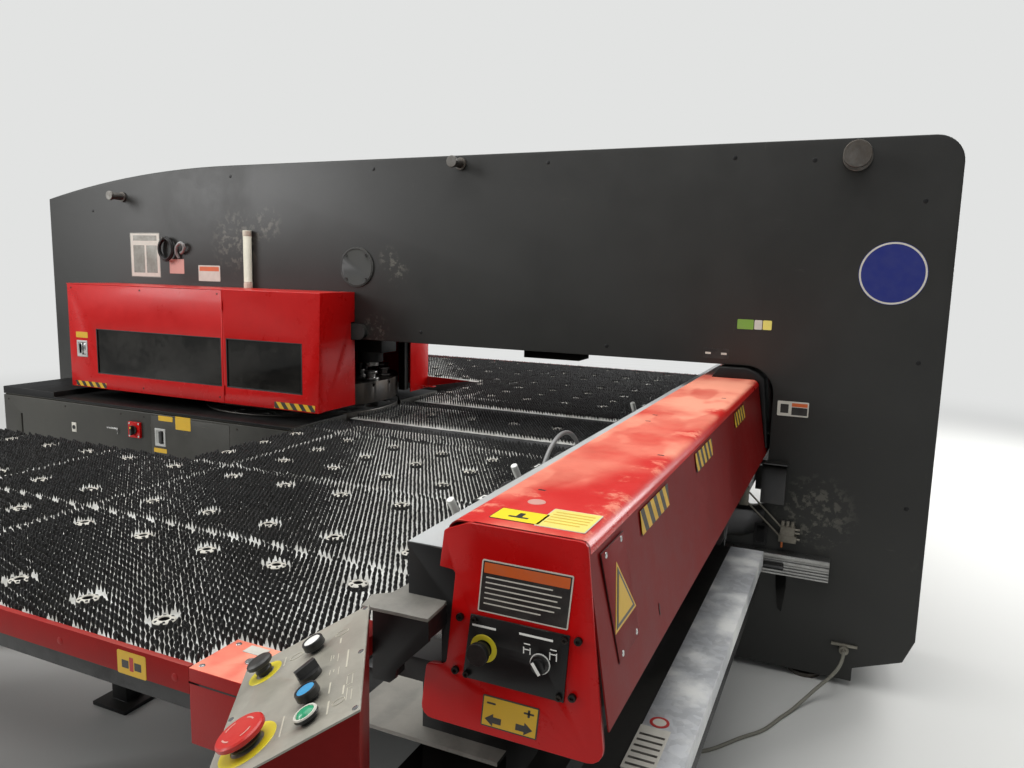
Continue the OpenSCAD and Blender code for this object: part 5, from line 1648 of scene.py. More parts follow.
@dataclass
class BrushTables:
    """Decks, tufts, rosettes, edge channels and the operator's corner box."""

    deck_z: float = 920.0
    tip_z: float = 948.0
    head_z: float = 21.0
    step: tuple[float, float] = (20.0, -5.0)
    margin: float = 12.0
    rosette_clear: float = 39.0
    turret_x: float = -480.0
    turret_clear: float = 592.0
    seam_xs: tuple[float, ...] = (-915.0, -320.0, 275.0)
    wing_ys: tuple[float, ...] = (1402.0, 2035.0, 2652.0)
    outer_ys: tuple[float, ...] = (410.0, 635.0, 1400.0)
    centre_xs: tuple[float, ...] = (45.0, 275.0, 1600.0)
    corner: tuple[float, float] = (1384.0, -2516.0)
    rosette_xs: tuple[float, ...] = (-1420.0, -1165.0, -912.0, -655.0, -410.0, -166.0, 97.0, 407.0, 662.0,
                                     915.0, 1168.0, 1436.0)
    rosette_ys: tuple[float, ...] = (780.0, 1000.0, 1225.0, 1515.0, 1890.0, 2145.0, 2520.0)
    channel_y: float = -2660.0
    piece_triangles: int = 190000
    seed: int = 7

    def build(self) -> None:
        """Builds the tables."""
        refine("centre_table", Library.DECK, 1.0)
        refine("wing_decks", Library.DECK, 1.0)
        refine("wing_support_posts", Library.BLACK, 2.0)
        refine("wing_channels", Library.EDGE_RED, 0.8)
        wing_xs = (-1600.0, *self.seam_xs, 1600.0)
        centre = self.fields(self.centre_xs, self.outer_ys) + [
            BrushField(a, b, -265.0, 265.0) for a, b in zip(self.centre_xs, self.centre_xs[1:])]
        wings = self.fields(wing_xs, self.wing_ys)
        near, far = [f for f in wings if f.y1 < 0], [f for f in wings if f.y1 >= 0]
        self.tufts("centre_tufts", "frame", centre, ["centre_brushes"])
        self.tufts("near_wing_tufts", "y_carriage", near, ["wing_brushes"])
        self.tufts("far_wing_tufts", "y_carriage", far, [])
        self.rosettes()
        self.corner_box()
        self.channel_fittings()

    @staticmethod
    def fields(xs: Sequence[float], ys: Sequence[float]) -> list[BrushField]:
        """Fields between the seams, on both sides of the frame.

        Args:
            xs: Seams that run across the machine.
            ys: Seams that run along it, on the far side.

        Returns:
            The fields.
        """
        found = []
        for x0, x1 in zip(xs, xs[1:]):
            for y0, y1 in zip(ys, ys[1:]):
                found += [BrushField(x0, x1, y0, y1), BrushField(x0, x1, -y1, -y0)]
        return found

    def rosette_places(self, body: str) -> np.ndarray:
        """Places of the rosettes on the fixed or the moving tables.

        Args:
            body: Body of the tables.

        Returns:
            An array of X and Y, one row for each rosette.
        """
        edge = self.wing_ys[0]
        xs = [x for x in self.rosette_xs if body == "y_carriage" or x > self.centre_xs[0]]
        ys = [y for y in self.rosette_ys if (y > edge) == (body == "y_carriage")]
        found = [(x, s * y) for x in xs for y in ys for s in (-1, 1)]
        if body == "frame":
            found += [(x, 0.0) for x in xs if x > 300]
        return np.array([p for p in found if not (p[0] > self.corner[0] - 40 and p[1] < self.corner[1] + 40)
                         or p[1] > -2480])

    def template(self) -> bpy.types.Mesh:
        """One tuft: a narrow foot, a full head and a blunt tip, made from a cone.

        Returns:
            Its mesh.
        """
        part = bmesh.new()
        bmesh.ops.create_cone(part, cap_ends=False, segments=5, radius1=1.5, radius2=5.8, depth=self.head_z)
        bmesh.ops.translate(part, vec=(0, 0, self.head_z / 2), verts=part.verts)
        head = [v for v in part.verts if v.co.z > self.head_z - 1]
        rim = [e for e in part.edges if all(v in head for v in e.verts)]
        made = bmesh.ops.extrude_edge_only(part, edges=rim)
        tip = [item for item in made["geom"] if isinstance(item, bmesh.types.BMVert)]
        bmesh.ops.translate(part, vec=(0, 0, self.tip_z - self.deck_z - self.head_z), verts=tip)
        bmesh.ops.scale(part, vec=(0.5, 0.5, 1), verts=tip)
        bmesh.ops.holes_fill(part, edges=[e for e in part.edges if all(v in tip for v in e.verts)], sides=0)
        bmesh.ops.triangulate(part, faces=part.faces)
        bmesh.ops.recalc_face_normals(part, faces=part.faces)
        mesh = bpy.data.meshes.new("tuft")
        part.to_mesh(mesh)
        part.free()
        return mesh

    def tufts(self, name: str, body: str, fields: list[BrushField], replaces: list[str]) -> None:
        """Sets a tuft at each place of the fields.

        Args:
            name: Name of the pieces, before their numbers.
            body: Body that they ride on.
            fields: The rectangles of tufts.
            replaces: Solids that the first piece stands for.
        """
        spots = np.concatenate([f.places(self.step, self.margin) for f in fields])
        rng = np.random.default_rng(self.seed)
        keep = np.hypot(spots[:, 0] - self.turret_x, spots[:, 1]) > self.turret_clear
        keep &= ~((spots[:, 0] > self.corner[0]) & (spots[:, 1] < self.corner[1]))
        for rosette in self.rosette_places(body):
            keep &= np.hypot(*(spots - rosette).T) > self.rosette_clear
        spots = spots[keep]
        template = self.template()
        count = len(template.vertices)
        shape = np.zeros(count * 3)
        template.vertices.foreach_get("co", shape)
        shape = shape.reshape(-1, 3)
        faces = np.array([list(p.vertices) for p in template.polygons])
        bpy.data.meshes.remove(template)
        limit = self.piece_triangles // len(faces)
        for number, start in enumerate(range(0, len(spots), limit), 1):
            part = spots[start:start + limit]
            self.scatter(f"{name}_{number}", body, part, shape, faces, rng, replaces if number == 1 else [])

    def scatter(self, name: str, body: str, spots: np.ndarray, shape: np.ndarray, faces: np.ndarray,
                rng: np.random.Generator, replaces: list[str]) -> None:
        """Copies the tuft to each spot, each one turned and leaning a little.

        Args:
            name: Name of the piece.
            body: Body that it rides on.
            spots: X and Y of the tufts.
            shape: Corners of one tuft.
            faces: Triangles of one tuft.
            rng: Seeded source of the small differences.
            replaces: Solids that the piece stands for.
        """
        n, k = len(spots), len(shape)
        turn = rng.uniform(0, 2 * math.pi, n)[:, None]
        size = rng.uniform(0.9, 1.08, n)[:, None]
        lean = rng.normal(0, 0.9, (n, 1, 2))
        rise = shape[None, :, 2] / (self.tip_z - self.deck_z)
        x = (shape[:, 0] * np.cos(turn) - shape[:, 1] * np.sin(turn)) * size
        y = (shape[:, 0] * np.sin(turn) + shape[:, 1] * np.cos(turn)) * size
        tall = rng.uniform(0.93, 1.0, n)[:, None]
        corners = np.empty((n, k, 3))
        corners[..., 0] = x + spots[:, :1] + lean[..., 0] * rise
        corners[..., 1] = y + spots[:, 1:] + lean[..., 1] * rise
        corners[..., 2] = shape[:, 2] * tall + self.deck_z
        index = faces[None] + (np.arange(n) * k)[:, None, None]
        mesh = bpy.data.meshes.new(name)
        mesh.from_pydata((corners.reshape(-1, 3) * MM).tolist(), [], index.reshape(-1, 3).tolist())
        add_piece(name, mesh, body, [Library.TUFT], replaces)

    def rosettes(self) -> None:
        """Raised ball seats: a pale disc with a dark hole and slots round it."""
        for body in ("frame", "y_carriage"):
            seats, holes = Form(), Form()
            for x, y in self.rosette_places(body):
                place = Matrix.Translation((x, y, self.deck_z))
                seats.lathe([(12, 2), (12, 14), (13.5, 16), (19, 15.6), (25, 13.4), (26.5, 11.5)], place, 30)
                holes.lathe([(0, 6.0), (11.9, 6.0), (11.9, 13.5)], place, 20)
                holes.lathe([(26.6, 11.6), (26.9, 10), (26.9, 0)], place, 24)
                for k in range(6):
                    spot = place @ Matrix.Rotation(math.radians(60 * k + 15), 4, "Z")
                    holes.block((16.5, -3.4, 5), (23.5, 3.4, 15.9), 1.0, 1, place=spot)
            name = "fixed" if body == "frame" else "moving"
            seats.piece(f"{name}_ball_seats", body, "deck_steel", Library.PALE_PLATE)
            holes.piece(f"{name}_ball_seat_holes", body, "handle_plastic", Library.GASKET)

    def corner_box(self) -> None:
        """Corner box of folded sheet with its lid screws."""
        lid = Zone((1380, -2670, 936), (1700, -2500, 940), Library.DUSTY_RED)
        refine("corner_box", Library.EDGE_RED, 1.5, zones=[lid])
        refine("gauge_block", Library.CHROME, 1.0)
        form = Form()
        for x, y in ((1410, -2642), (1410, -2540), (1672, -2642), (1672, -2540)):
            place = Matrix.Translation((x, y, self.deck_z + 18))
            form.lathe([(0, 1.4), (3, 1.6), (6, 1.0), (6.6, 0)], place, 18)
        form.piece("corner_box_screws", "y_carriage", "screw_black", Library.CHROME)
        tab = Form()
        tab.block((1440, -2562, self.deck_z + 18), (1490, -2533, self.deck_z + 19.2), 0.4, 1)
        tab.piece("corner_box_tab", "y_carriage", "panel_face", Library.PALE_PLATE)

    def channel_fittings(self) -> None:
        """Screws, seam and yellow plate on the near edge channel."""
        y = self.channel_y
        form = Form()
        for x in (-1450, -900, -350, 250, 700, 1007, 1353):
            form.lathe([(0, 1.6), (5, 1.8), (8, 1.0), (8.6, 0)], outward(x, y, 907), 20)
        form.piece("channel_screws", "y_carriage", "screw_black", Library.EDGE_RED)
        Sticker("channel_place", "y_carriage", "red_paint", on_near_face(1230, y, 905), 84, 52,
                (Library.YELLOW_PLATE, Library.BLACK_PLATE, Library.RED_PLATE, Library.YELLOW_PLATE), 2.5,
                bands=((0.16, 0.28, 0.4, 0.62, 1), (0.6, 0.28, 0.84, 0.62, 1),
                       (0.43, 0.2, 0.57, 0.8, 2))).build()
        lid = Form()
        lid.block((1391.2, -2661.0, 905), (1420, -2523, 908.5), 0.3, 1)
        lid.block((1391.2, -2661.0, 905), (1691, -2640, 908.5), 0.3, 1)
        lid.piece("corner_box_seam", "y_carriage", "red_paint", Library.GASKET)


@dataclass
class Carriage:
    """Guide beam, red cover, end plates, tray and what is on them."""

    end_y: float = -2575.0
    cover_top: float = 1307.0
    tray_top: float = 700.0
    side_high: tuple[float, float] = (2194.5, 1285.0)
    side_low: tuple[float, float] = (2240.0, 985.0)
    stripe_spans: tuple[tuple[float, float], ...] = ((-2262, -2025), (-1701, -1466), (-1018, -783))

    def build(self) -> None:
        """Builds the carriage."""
        shelf = Zone((1688, -2600, 849), (2035, -2150, 859), Library.DUSTY_SHELF)
        refine("carriage_base", Library.BLACK, 1.2, zones=[shelf])
        shelf = Zone((1760, -2700, 1145), (1950, -2500, 1153), Library.DUSTY_SHELF)
        rail = Zone((1880, -2600, 1058), (1922, 2600, 1096), Library.GROUND)
        refine("guide_beam", Library.BLACK, 1.5, zones=[shelf, rail])
        top = Zone((1900, -2600, 1280), (2200, 2600, 1310), Library.DUSTY_RED)
        # The cover's sides take the darker red as painted shade; its top takes the dusty red.
        refine("carriage_cover", Library.SHADED_RED, 0.0, zones=[top])
        refine("end_plates", Library.RED, 1.5)
        # The flange copy of the end plates takes the darker red as painted shade.
        flange = Form.of_node("end_plates", 0.3, 1)
        for vert in flange.mesh.verts:
            vert.co.y += 5.0 if vert.co.y < 0 else -5.0
        flange.piece("end_plate_flanges", "y_carriage", "red_paint", Library.SHADED_RED)
        refine("frame_hood", Library.BLACK, 4.0, 3)
        refine("cable_tray", Library.ZINC, 0.8)
        refine("cover_screws", Library.BLACKENED, 0.6)
        refine("end_control_plate", Library.BLACK, 1.0)
        self.strip()
        self.end_face()
        self.cover_foils()
        self.access_panel()
        self.triangle()
        self.top_marks()
        self.tray_places()

    def strip(self) -> None:
        """Pale strip on the beam between the rail side and the cover."""
        form = Form()
        form.block((1846.5, -2566, 1249.1), (1925, 2566, 1250.3), 0.5)
        form.piece("beam_top_strip", "y_carriage", "rail_steel", Library.STRIP)

    def end_face(self) -> None:
        """Places on the near end, which stand a little slanted."""
        y = self.end_y
        lib = Library
        slant = Matrix(((1, 0.085, 0, 0), (0, 1, 0, 0), (0, 0, 1, 0), (0, 0, 0, 1)))
        text_lines = self.lines(0.06, 0.66, 0.025, (0.8, 0.9, 0.86, 0.9, 0.84, 0.7), 0.1, 0)
        self.foil("notice_place", on_near_face(2083, y, 1199) @ slant, (168, 96),
                  (lib.PALE_PLATE, lib.ORANGE_PLATE, lib.BLACK_PLATE), 2.5, 3.0,
                  ((0.03, 0.75, 0.97, 0.95, 1), *text_lines))
        self.foil("axis_mark_place", on_near_face(2061, y, 968) @ slant, (108, 60),
                  (lib.BLACK_PLATE, lib.YELLOW_PLATE), 2.5, 3.0,
                  ((0.08, 0.74, 0.24, 0.8, 0), (0.74, 0.72, 0.92, 0.78, 0), (0.81, 0.63, 0.85, 0.87, 0)))
        arrows = Form()
        arrow = ((14, -6), (30, -6), (30, -12), (46, 0), (30, 12), (30, 6), (14, 6))
        for side in (-1, 1):
            outline = [(side * a, b) for a, b in arrow]
            place = on_near_face(2059, y, 953) @ slant
            arrows.slab(outline if side > 0 else outline[::-1], 0.9, 1.15, place=place)
        arrows.piece("axis_arrows", "y_carriage", "red_paint", lib.BLACK_PLATE)

    @staticmethod
    def lines(left: float, first: float, height: float, ends: Sequence[float], pitch: float,
              finish: int) -> tuple[Band, ...]:
        """Bands of a plate that stand for its printed lines, as shares of its width and height."""
        lows = [first - pitch * k for k in range(len(ends))]
        return tuple((left, low, end, low + height, finish) for low, end in zip(lows, ends))

    def side_place(self, y: float, z: float) -> Matrix:
        """Place on the cover's sloped side, with local X along it and Z out of it.

        Args:
            y: Where along the cover.
            z: Height.

        Returns:
            The place as a matrix.
        """
        lean = math.atan2(self.side_low[0] - self.side_high[0], self.side_high[1] - self.side_low[1])
        share = (self.side_high[1] - z) / (self.side_high[1] - self.side_low[1])
        x = self.side_high[0] + share * (self.side_low[0] - self.side_high[0])
        return basis((x, y, z), (0, 1, 0), (-math.sin(lean), 0, math.cos(lean)))

    def foil(self, name: str, place: Matrix, size: tuple[float, float], finishes: tuple[Finish, ...],
             border: float, radius: float = 4.0, bands: tuple[Band, ...] = ()) -> None:
        """Puts a bare foil, told as a Sticker's, on the carriage's red paint."""
        Sticker(name, "y_carriage", "red_paint", place, *size, finishes, border, radius, bands=bands).build()

    def cover_foils(self) -> None:
        """Foils on the cover's top and the striped ones on its side."""
        z = self.cover_top
        lib = Library
        self.foil("top_place_small", Matrix.Translation((2039, -2500, z)), (96, 62),
                  (lib.BLACK_PLATE, lib.LEMON_PLATE), 1.5,
                  bands=((0.3, 0.3, 0.7, 0.42, 0), (0.44, 0.42, 0.56, 0.75, 0)))
        self.foil("top_place_large", Matrix.Translation((2126, -2482, z)), (94, 106),
                  (lib.PALE_PLATE, lib.YELLOW_PLATE, lib.CREAM_PLATE), 2.0,
                  bands=self.lines(0.1, 0.8, 0.04, (0.9, 0.9, 0.9, 0.9, 0.8), 0.14, 1))
        for number, (y0, y1) in enumerate(self.stripe_spans, 1):
            place = self.side_place((y0 + y1) / 2, 1249)
            self.foil(f"cover_stripes_{number}", place, (y1 - y0, 50), (lib.COVER_STRIPES,), 0.0, 2.0)

    def access_panel(self) -> None:
        """Skewed panel on the cover's side, with a black rim painted as the shadow line of its gap, its
        screws and a slot.
        """
        place = self.side_place(-2434, 1167)
        corners = ((-48, -105), (83, -105), (50, 104), (-85, 104))
        panel = Form()
        # A black sheet a little larger than the panel shows round it as a painted shadow line.
        panel.slab([(u * 1.02, v * 1.014) for u, v in corners], 0, 0.5, place=place)
        # The panel's field takes the darker red as painted shade, like the cover's side.
        panel.with_finish(1).slab(corners, 0.5, 1.6, bevel=0.4, place=place)
        panel.piece("access_panel", "y_carriage", "red_paint", Library.GASKET, Library.SHADED_RED)
        screws = Form()
        for u, v in ((-61, 95), (30, 96), (-26, -96), (66, -95)):
            spot = place @ Matrix.Translation((u, v, 1.6))
            screws.lathe([(0, 1.2), (3, 1.6), (5.6, 0.8), (6, 0)], spot, 16)
        screws.piece("access_screws", "y_carriage", "screw_black", Library.CHROME)
        slot = Form()
        slot.slab(rounded((-2.5, -13), (2.5, 13), 2.4), 0, 0.5, place=self.side_place(-2192, 1047))
        slot.piece("cover_slot", "y_carriage", "red_paint", Library.GASKET)

    def triangle(self) -> None:
        """Bare triangular foil on the access panel, a little slanted."""
        form = Form()
        slant = Matrix(((1, -0.19, 0, 0), (0, 1, 0, 0), (0, 0, 1, 0), (0, 0, 0, 1)))
        place = self.side_place(-2431, 1157) @ Matrix.Translation((0, 0, 1.6)) @ slant
        for number, size, low in ((0, 77.0, 0.0), (1, 67.0, 0.6), (0, 53.0, 1.2)):
            form.with_finish(number).slab(ring_of(size, (90, 210, 330)), low, low + 0.6, place=place)
        form.piece("triangle_place", "y_carriage", "red_paint", Library.YELLOW_PLATE, Library.BLACK_PLATE)

    def top_marks(self) -> None:
        """Round and oblong marks on the cover's top."""
        z = self.cover_top
        marks = Form()
        marks.lathe([(0, 0.8), (17, 0.8), (17.6, 0)], Matrix.Translation((2032, -2405, z)), 32)
        marks.with_finish(1)
        for x, y in ((2010, -2324), (2004, -1367), (2010, -1478), (2150, -1900), (2140, -900)):
            marks.block((x - 8, y - 3, z), (x + 8, y + 3, z + 0.6), 0.2, 1)
        marks.piece("cover_top_marks", "y_carriage", "red_paint", Library.PINK_PLATE, Library.BLACK_PLATE)

    def tray_places(self) -> None:
        """Red ring and lined plate on the cable tray."""
        z = self.tray_top
        tray = Form()
        flat = Matrix.Translation((2212, -2040, z))
        tray.lathe([(16, 0), (16, 0.9), (23, 0.9), (23, 0)], flat, 32)
        tray.with_finish(1).lathe([(0, 0.7), (16, 0.7)], flat, 32)
        tray.with_finish(1).block((2174, -2240, z), (2245, -2066, z + 1), 0.3, 1)
        for y in range(-2226, -2090, 24):
            tray.with_finish(2).block((2180, y, z + 1), (2239, y + 8, z + 1.3), 0.1, 1)
        tray.piece("tray_places", "y_carriage", "red_paint",
                   Library.RED_PLATE, Library.PALE_PLATE, Library.SILVER_PLATE)


@dataclass
class Controls:
    """Buttons and selectors on the near end and on the operator's panel."""

    centre: tuple[float, float, float] = (1890.0, -2929.0, 1160.0)
    turn: float = 32.5
    slope: float = 28.0
    gap: float = 5.3
    end_face_y: float = -2579.0

    @property
    def place(self) -> Matrix:
        """Place of the sloped panel: X up the slope, Y along it, Z out of it.

        Returns:
            The place as a matrix.
        """
        turned = Matrix.Rotation(math.radians(self.turn), 4, "Z")
        sloped = Matrix.Rotation(math.radians(-self.slope), 4, "Y")
        return Matrix.Translation(self.centre) @ turned @ sloped

    def build(self) -> None:
        """Builds the controls."""
        # The operator box takes the darker red as painted shade on its sides.
        refine("operator_box", Library.SHADED_RED, 1.2)
        refine("operator_plate", Library.FACE, 0.8)
        refine("mode_selector", Library.KNOB, 1.5)
        refine("end_stop_button", Library.KNOB, 0.5, 1)
        bar = Zone((2090, -2602, 1050), (2145, -2598, 1115), Library.WHITE_CAP)
        refine("gauge_selector", Library.KNOB, 1.0, zones=[bar])
        self.push_button("white_button", (23, 87), 12.0, Library.WHITE_CAP, 0.6)
        self.push_button("blue_button", (31, -58), 12.0, Library.BLUE_CAP, 0.6)
        self.push_button("green_button", (34, -108), 6.0, Library.GREEN_CAP, 5.0)
        self.mushroom("stop_button", (-65, 101), 20.0, Library.WORN_KNOB)
        self.mushroom("emergency_stop", (-55, -89), 34.0, Library.RED_CAP)
        self.discs()
        self.symbols()
        self.end_rings()

    def spot(self, u: float, v: float, height: float = 0.0) -> Matrix:
        """Place on the panel's face."""
        return self.place @ Matrix.Translation((u, v, height))

    def push_button(
        self, node: str, at: tuple[float, float], collar: float, cap: Finish, dome: float
    ) -> None:
        """Turns a push button: a bezel with a rounded rim and a cap inside it.

        Args:
            node: The solid that it stands for.
            at: Its middle on the panel.
            collar: Height of the bezel.
            cap: Finish of the cap.
            dome: How far the cap bulges. A domed cap has a pale rim.
        """
        foot, top = self.gap, self.gap + collar
        form = Form()
        place = self.spot(*at)
        form.lathe([(11, -2.3), (11, foot - 0.2)], place, 24)
        form.lathe([(0, foot), (15.4, foot), (17, foot + 1.2), (16.6, top - 1.6), (15.6, top), (13.8, top),
                    (13.2, top - 1.0), (13.2, top - 3.0)], place, 48)
        form.with_finish(1)
        form.lathe([(13.2, top - 2.6), (12.6, top - 1.0 + dome * 0.1), (10, top - 0.6 + dome * 0.5),
                    (6, top - 0.4 + dome * 0.8), (0, top - 0.4 + dome)], place, 40)
        finishes = (Library.KNOB, cap)
        if dome > 2:
            rim = [(16.7, top - 1.4), (15.8, top + 0.4), (13.4, top + 0.4), (12.8, top - 0.8)]
            form.with_finish(2).lathe(rim, place, 48)
            finishes += (Library.PALE_PLATE,)
        form.piece(node + "_finished", body_of(node), slot_of(node), *finishes, replaces=[node])

    def mushroom(self, node: str, at: tuple[float, float], radius: float, head: Finish) -> None:
        """Turns a stop button: a black neck and a wide flat head with a rounded rim.

        Args:
            node: The solid that it stands for.
            at: Its middle on the panel.
            radius: Radius of the head. A large head has pale arrows on it.
            head: Finish of the head.
        """
        foot, low, top = self.gap, self.gap + 9.7, self.gap + 19.7
        neck = radius * 0.64
        form = Form()
        place = self.spot(*at)
        form.with_finish(1)
        form.lathe([(11, -2.3), (11, foot), (neck, foot), (neck, foot + 2), (neck * 0.9, foot + 4),
                    (neck * 0.88, low + 0.5)], place, 40)
        form.with_finish(0)
        form.lathe([(neck * 0.8, low + 0.4), (radius - 2.5, low + 0.2), (radius - 0.6, low + 1.6),
                    (radius, low + 4.2), (radius - 0.5, top - 3.0), (radius - 3.0, top - 1.0),
                    (radius * 0.6, top), (0, top + 0.2)], place, 56)
        finishes = (head, Library.KNOB)
        if radius > 30:
            form.with_finish(2)
            for k in range(4):
                turned = self.spot(*at, top - 0.1) @ Matrix.Rotation(math.radians(90 * k + 20), 4, "Z")
                outer = ring_of(22.5, range(0, 46, 9))
                inner = [(u * 0.9, v * 0.9) for u, v in reversed(outer)]
                form.slab(outer + inner, -0.3, 0.35, place=turned)
            finishes += (Library.PINK_PLATE,)
        form.piece(node + "_finished", body_of(node), slot_of(node), *finishes, replaces=[node])

    def discs(self) -> None:
        """Yellow discs below both stop buttons."""
        form = Form()
        for u, v, hole, radius in ((-65.5, 100, 14.5, 27), (-55.5, -88.5, 23.5, 40.5)):
            form.lathe([(hole, 0), (hole, 0.8), (radius - 0.6, 0.8), (radius, 0.4), (radius, 0)],
                       self.spot(u, v, 0.05), 56)
        form.piece("stop_discs", "y_carriage", "panel_face", Library.YELLOW)

    def symbols(self) -> None:
        """Pale line marks and corner screws on the panel's face."""
        form = Form()
        top = 0.35
        for u, v, long, wide in ((64, 97, 11, 7), (-13, 100, 11, 7), (75, -104, 9, 6)):
            ring = ring_of(long, range(0, 360, 15), wide)
            for one, two in zip(ring, ring[1:] + ring[:1]):
                form.rod((one[0], one[1], top), (two[0], two[1], top), 0.45, sides=6, place=self.spot(u, v))
        bars = ((52, 30, 1, 16), (56, 30, 1, 10), (64, 21, 1, 22), (54, -13, 1, 14), (60, -13, 1, 8),
                (68, -20, 1, 22), (80, 3, 2.4, 50), (58, -56, 2.4, 28), (60, -105, 2.4, 31),
                (-7, -89, 2.4, 47), (-33, 103, 2.4, 27), (64, 72, 2.4, 16), (84, -60, 1, 20),
                (92, -62, 1, 26), (88, -74, 9, 1), (90, -48, 12, 1),
                (86, -96, 1, 30), (93, -102, 1, 24), (89, -84, 9, 1), (80, -80, 2.4, 22))
        for u, v, du, dv in bars:
            form.block((-du / 2, -dv / 2, 0.05), (du / 2, dv / 2, top), 0.1, 1, place=self.spot(u, v))
        form.piece("panel_marks", "y_carriage", "panel_face", Library.PALE_MARK)
        screws = Form()
        for u, v in ((101, 143), (101, 2), (101, -141), (-101, 143), (-101, 7), (-101, -141)):
            screws.lathe([(0, 1.0), (2.0, 1.2), (4.2, 0.8), (4.6, 0)], self.spot(u, v), 16)
        screws.piece("panel_screws", "y_carriage", "screw_black", Library.CHROME)

    def end_rings(self) -> None:
        """Rings and scale marks round the button and selector of the end face."""
        y = self.end_face_y
        form = Form()
        form.lathe([(16, 0), (16, 0.9), (25, 0.9), (25.5, 0.3), (25.5, 0)], outward(2010, y, 1085), 48)
        form.with_finish(1)
        form.lathe([(16.5, 0), (16.5, 1.2), (18.5, 1.2), (18.5, 0)], outward(2117, y, 1082), 40)
        for x, z, w, h in ((2010, 1125, 46, 4), (2108, 1128, 62, 4), (2092, 1112, 12, 2), (2092, 1102, 12, 2),
                           (2140, 1112, 12, 2), (2140, 1104, 12, 2), (2134, 1100, 2, 14), (2146, 1100, 2, 14),
                           (2086, 1100, 2, 12), (2098, 1100, 2, 12)):
            form.block((x - w / 2, y - 0.5, z - h / 2), (x + w / 2, y, z + h / 2), 0.2, 1)
        form.piece("end_face_rings", "y_carriage", "panel_face", Library.YELLOW, Library.WHITE_CAP)


@dataclass
class Clamps:
    """Slide, hose arch, clamp bodies and jaws."""

    clamp_ys: tuple[float, ...] = (-1740.0, -1310.0, 120.0)
    tip_x: float = 1532.0
    body_top: float = 1060.0
    lever_out: float = 134.0

    def build(self) -> None:
        """Builds the clamps."""
        arch = Zone((1735, -1800, 1034), (1748, -1200, 1400), Library.HOSE)
        refine("x_carriage", Library.BLACK, 2.0, zones=[arch])
        fingers = [Zone((self.tip_x + 38, y - 86, 953), (self.tip_x + 192, y - 54, 1010), Library.PALE_PLATE)
                   for y in self.clamp_ys]
        refine("work_clamps", Library.BLACK, 1.0, zones=fingers)
        for number in (1, 2, 3):
            refine(f"clamp_jaw_{number}", Library.PAD, 1.5)
        self.housings()

    def housings(self) -> None:
        """Cylinder housings with their plates, screws, air lines and white feelers."""
        form, x, top = Form(), self.tip_x, self.body_top
        for y in self.clamp_ys:
            form.with_finish(0).block((x + 44, y - 40, top + 0.5), (x + 150, y + 44, top + 20), 4.0, 3)
            side = y - self.lever_out
            form.rod((x + 56, y - 50, top - 1), (x + 52, side, top - 1), 6.0, sides=16)
            form.with_finish(1).rod((x + 52, side, top - 7), (x + 42, side - 35, top + 56), 11.5,
                                    bevel=3.5, segments=3, sides=28)
            form.block((x + 54, y - 26, top + 20), (x + 84, y + 20, top + 20.8), 0.3, 1)
            form.with_finish(3).lathe([(5, 0.8), (5, 1.6), (9, 1.6), (9, 0.8)],
                                      Matrix.Translation((x + 69, y - 3, top + 20)), 24)
            form.with_finish(2)
            for dx, dy in ((106, -26), (106, 30), (138, -26), (138, 30)):
                spot = Matrix.Translation((x + dx, y + dy, top + 20))
                form.lathe([(0, 5), (5, 5), (6, 4), (6, 0)], spot, 16)
            form.with_finish(3)
            form.tube([(x + 118, y + 6, top + 18), (x + 114, y + 14, top + 50), (x + 134, y + 30, top + 66),
                       (x + 164, y + 44, top + 52), (x + 186, y + 50, top + 24)], 6.5, 4)
        form.piece("clamp_housings", "clamp_slide", "black_paint",
                   Library.BLACK, Library.WHITE_CAP, Library.CHROME, Library.GASKET)


@dataclass
class Services:
    """Guide rails, lubricant block, cable outlet and the free cable."""

    route: tuple[tuple[float, float, float], ...] = (
        (2615, -319, 172), (2610, -358, 152), (2594, -394, 126), (2563, -418, 90), (2523, -450, 55),
        (2470, -531, 22), (2434, -600, 9), (2402, -666, 7), (2350, -783, 7), (2277, -877, 7), (2201, -984, 7),
        (2146, -1039, 7), (2070, -1100, 7), (1985, -1145, 7), (1925, -1168, 11), (1875, -1180, 17.5),
        (1820, -1190, 17.5))
    cable_radius: float = 7.0

    def build(self) -> None:
        """Builds the services."""
        refine("y_rails", Library.GROUND, 1.0)
        pipe = Zone((2325, -310, 580), (2340, -285, 612), Library.ORANGE_PIPE)
        refine("valve_block", Library.CAST, 1.0, zones=[pipe])
        refine("cable_socket", Library.CAST, 1.5)
        self.cable(refine("cable_plug", Library.GASKET, 1.0))

    def cable(self, plug: bpy.types.Object) -> None:
        """Free cable from its outlet down to the floor and off behind the tray.

        Args:
            plug: The connector at its end; not used.
        """
        points = [Vector(p) * MM for p in self.route]
        curve = smooth_curve("free_cable", points, self.cable_radius * MM, 5)
        curve.materials.append(Library.get(Library.SHEATH))
        item = show("free_cable", curve)
        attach(item, "frame")
        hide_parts("socket_cable")


